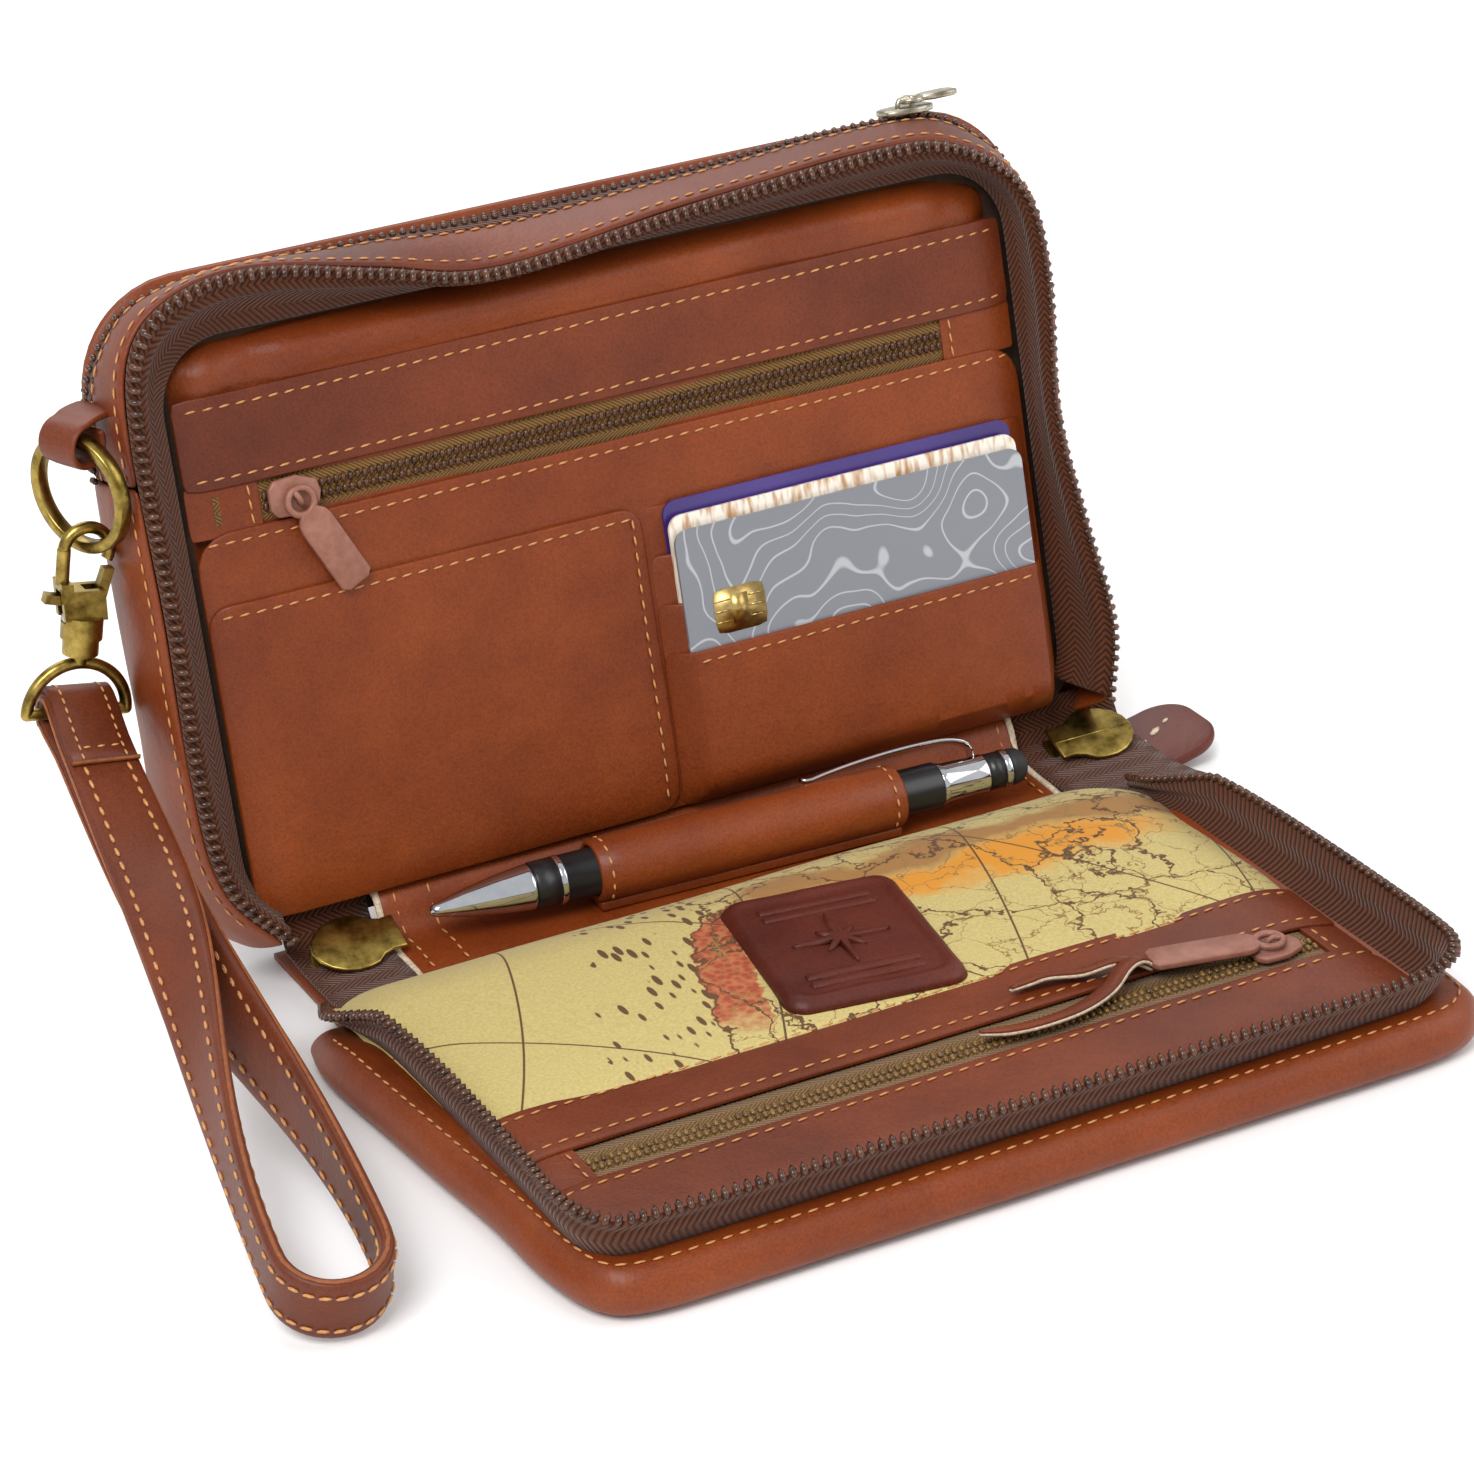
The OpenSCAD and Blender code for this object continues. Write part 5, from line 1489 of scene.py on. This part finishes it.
@dataclass
class WristStrap:
    """The sewn double strap: two legs from the eye's bar to a loop that stands on its edge."""

    width: float = 15.0
    ply: float = 3.0
    loop_half: float = 10.5
    wire: float = 1.3

    def __post_init__(self) -> None:
        """Sets the course's four guide points, from the eye's bar to the loop's end."""
        reach, tilt = 36.5, math.radians(10)
        bar = Vector((-118 - reach * math.sin(tilt), 24.5, 97.2 - reach * math.cos(tilt)))
        self.guides = (bar, Vector((-128, -20, 42.5)), Vector((-131, -75, 28.5)),
                       Vector((-136, -125, 11.6)))
        self.fold = self.wire + 0.3 + self.ply / 2
        self.sewn = self.ply / 2 + 0.15

    def ease(self, a: float, b: float, t: float) -> float:
        """Returns a smooth step from 0 at a to 1 at b."""
        s = min(1.0, max(0.0, (t - a) / (b - a)))
        return s * s * (3 - 2 * s)

    def course(self, t: float) -> Vector:
        """Returns the point of the centre line at a share of its length."""
        a, b, c, d = self.guides
        return ((1 - t) ** 3 * a + 3 * t * (1 - t) ** 2 * b + 3 * t * t * (1 - t) * c
                + t ** 3 * d)

    def frame_at(self, t: float) -> tuple[Vector, Vector, Vector]:
        """Returns the heading, the plies' normal and their width direction."""
        ahead = (self.course(min(1, t + 0.01)) - self.course(max(0, t - 0.01))).normalized()
        across = (Vector((1, 0, 0)) - ahead * ahead.x).normalized()
        apart = ahead.cross(across)
        turn = math.radians(99 * self.ease(0.05, 0.95, t) - 9)
        return (ahead, apart * math.cos(turn) - across * math.sin(turn),
                across * math.cos(turn) + apart * math.sin(turn))

    def half_gap(self, t: float) -> float:
        """Returns the distance from the centre line to a ply's middle."""
        return (self.sewn + (self.fold - self.sewn) * (1 - self.ease(0, 0.09, t))
                + (self.loop_half - self.sewn) * self.ease(0.2, 1, t))

    def stations(self) -> list[tuple[Vector, Vector, Vector]]:
        """Returns the ply's middle, outward normal and width direction round the whole loop."""
        out = []
        for side, shares in ((1, range(0, 41)), (-1, range(40, -1, -1))):
            for k in shares:
                t = k / 40
                _, normal, width = self.frame_at(t)
                spot = self.course(t) + side * self.half_gap(t) * normal
                out.append((spot, side * normal, width))
            t, half, way = (1, self.loop_half, 1) if side > 0 else (0, self.fold, -1)
            ahead, normal, width = self.frame_at(t)
            for k in range(1, 12):
                a = math.pi * k / 12
                n = side * normal * math.cos(a) + way * ahead * math.sin(a)
                out.append((self.course(t) + half * n, n, width))
        return out

    def row_at(self, station: tuple[Vector, Vector, Vector], depth: float,
               across: float) -> Vector:
        """Returns a point of a ply: depth out of its middle, and across its width."""
        middle, normal, width = station
        return middle + depth * normal + across * width

    def build(self) -> None:
        """Makes the strap's leather, its bound edges, its rows and its turned-back end."""
        stations = self.stations()
        half, deep = self.width / 2, self.ply / 2
        section = ((-half + 0.7, deep), (-half + 2.6, deep), (0, deep + 0.12), (half - 2.6, deep),
                   (half - 0.7, deep), (half, deep - 0.7), (half, -deep + 0.7),
                   (half - 0.7, -deep), (0, -deep), (-half + 0.7, -deep), (-half, -deep + 0.7),
                   (-half, deep - 0.7))
        bm = bmesh.new()
        loft(bm, [[self.row_at(s, d, w) for w, d in section] for s in stations], ring=True,
             closed=True)
        piece = finish_piece(bm, "strap_leather", "strap", STRAP_HIDE.material(), "leather",
                             FLAT, ("wrist_strap",))
        subdivide(piece)
        bm = bmesh.new()
        for edge in (-half, half):
            out = 0.25 if edge > 0 else -0.25
            loft(bm, [[self.row_at(s, d, edge + w) for w, d in
                       ((0, -0.5), (out, -0.3), (out, 0.3), (0, 0.5), (-out, 0))]
                      for s in stations], ring=True, closed=True)
        finish_piece(bm, "strap_edge_binding", "strap", EDGE_PAINT.material(), "leather")
        bm = bmesh.new()
        for across in (-half + 2.9, half - 2.9):
            for face in (deep + 0.08, -deep - 0.08):
                out = 1 if face > 0 else -1
                chosen = stations[3:90] if out > 0 else stations[14:80]
                for a, b in zip(chosen, chosen[1:]):
                    start, end = self.row_at(a, face, across), self.row_at(b, face, across)
                    if (end - start).length > 1.2:
                        ahead = (end - start).normalized()
                        bead(bm, start.lerp(end, 0.5) + 0.1 * out * a[1],
                             ahead + 0.1 * a[2], a[1] * out, (1.45, 0.42, 0.34))
        finish_piece(bm, "strap_stitches", "strap", THREAD.material(), "leather")
        self.build_end()

    def build_end(self) -> None:
        """Makes the strap's end, turned back over the bar and sewn down in a box."""
        stations = self.stations()
        near = [*stations[-11:], *stations[:6]]
        half = self.width / 2 - 0.2
        deep = self.ply / 2
        bm = bmesh.new()
        loft(bm, [[self.row_at(s, d, w) for w, d in
                   ((-half, deep + 0.2), (-half + 0.6, deep + 1.1), (half - 0.6, deep + 1.1),
                    (half, deep + 0.2))] for s in near], ring=True)
        bmesh.ops.holes_fill(bm, edges=bm.edges, sides=0)
        finish_piece(bm, "strap_turned_end", "strap", STRAP_HIDE.material(), "leather")
        bm = bmesh.new()
        last = near[-1]
        ahead = (near[-1][0] - near[-2][0]).normalized()
        rows = [[self.row_at(last, deep + d, w) + ahead * a for w in (-half, half)]
                for a, d in ((-0.1, 0.3), (-0.1, 1.35), (0.35, 1.2), (0.35, 0.4))]
        loft(bm, rows, closed=True)
        finish_piece(bm, "strap_cut_end", "strap", EDGE_PAINT.material(), "leather")
        bm = bmesh.new()
        top = deep + 1.15
        for across in (2.7 - half, half - 2.7):
            stitches(bm, [self.row_at(s, top, across) for s in near[5:]],
                     lambda p: near[-3][1], 2.6)
        stitches(bm, [self.row_at(near[-2], top, w * half) for w in (-0.62, 0.62)],
                 lambda p: near[-2][1], 2.6)
        finish_piece(bm, "strap_end_stitches", "strap", THREAD.material(), "leather")


# ---------------------------------------------------------------- the scene

@dataclass
class Studio:
    """A white sweep, soft lights and the camera."""

    eye: tuple[float, float, float] = (-0.3973, -0.8359, 0.4860)
    heading: float = -26.26
    down: float = 26.16
    roll: float = -2.9
    lens: float = 116.95

    def build(self) -> None:
        """Sets up the camera, the floor, the lights and the surroundings."""
        scene = bpy.context.scene
        scene.view_settings.view_transform = "Standard"
        camera = bpy.data.cameras.new("camera")
        camera.lens, camera.sensor_width = self.lens, 36.0
        camera.clip_end = 20.0
        eye = bpy.data.objects.new("camera", camera)
        eye.matrix_world = (Matrix.Translation(self.eye)
                            @ Matrix.Rotation(math.radians(self.heading), 4, "Z")
                            @ Matrix.Rotation(math.radians(90 - self.down), 4, "X")
                            @ Matrix.Rotation(math.radians(self.roll), 4, "Z"))
        scene.collection.objects.link(eye)
        scene.camera = eye
        bm = bmesh.new()
        bmesh.ops.create_grid(bm, x_segments=2, y_segments=2, size=6.0)
        mesh = bpy.data.meshes.new("floor")
        bm.to_mesh(mesh)
        bm.free()
        paper = bpy.data.materials.new("white studio paper")
        paper.use_nodes = True
        shader = paper.node_tree.nodes["Principled BSDF"]
        shader.inputs["Base Color"].default_value = (0.93, 0.93, 0.93, 1)
        shader.inputs["Roughness"].default_value = 0.7
        mesh.materials.append(paper)
        floor = bpy.data.objects.new("floor", mesh)
        floor.location.z = -0.0002
        scene.collection.objects.link(floor)
        for name, at, size, power in (("key", (-0.9, -0.9, 1.5), 0.8, 25.0),
                                      ("fill", (1.3, -0.8, 1.0), 1.2, 9.0),
                                      ("back", (0.2, 1.4, 1.4), 1.2, 12.0)):
            light = bpy.data.lights.new(name, "AREA")
            light.size, light.energy = size, power
            lamp = bpy.data.objects.new(name, light)
            lamp.location = at
            lamp.rotation_euler = (Vector((0, -0.04, 0.05)) - Vector(at)).to_track_quat(
                "-Z", "Y").to_euler()
            scene.collection.objects.link(lamp)
        world = scene.world or bpy.data.worlds.new("studio")
        scene.world = world
        world.use_nodes = True
        sky = world.node_tree.nodes["Background"]
        sky.inputs["Color"].default_value = (1, 1, 1, 1)
        sky.inputs["Strength"].default_value = 0.72


def main() -> None:
    """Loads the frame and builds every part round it."""
    logging.basicConfig(level=logging.INFO, format="%(message)s")
    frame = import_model()
    Studio().build()
    Case().build()
    PocketPanel().build()
    Cards().build(frame["nodes"])
    Fold().build()
    Pen().build()
    Flap().build()
    StrapHardware().build(frame["nodes"])
    WristStrap().build()


if __name__ == "__main__":
    main()
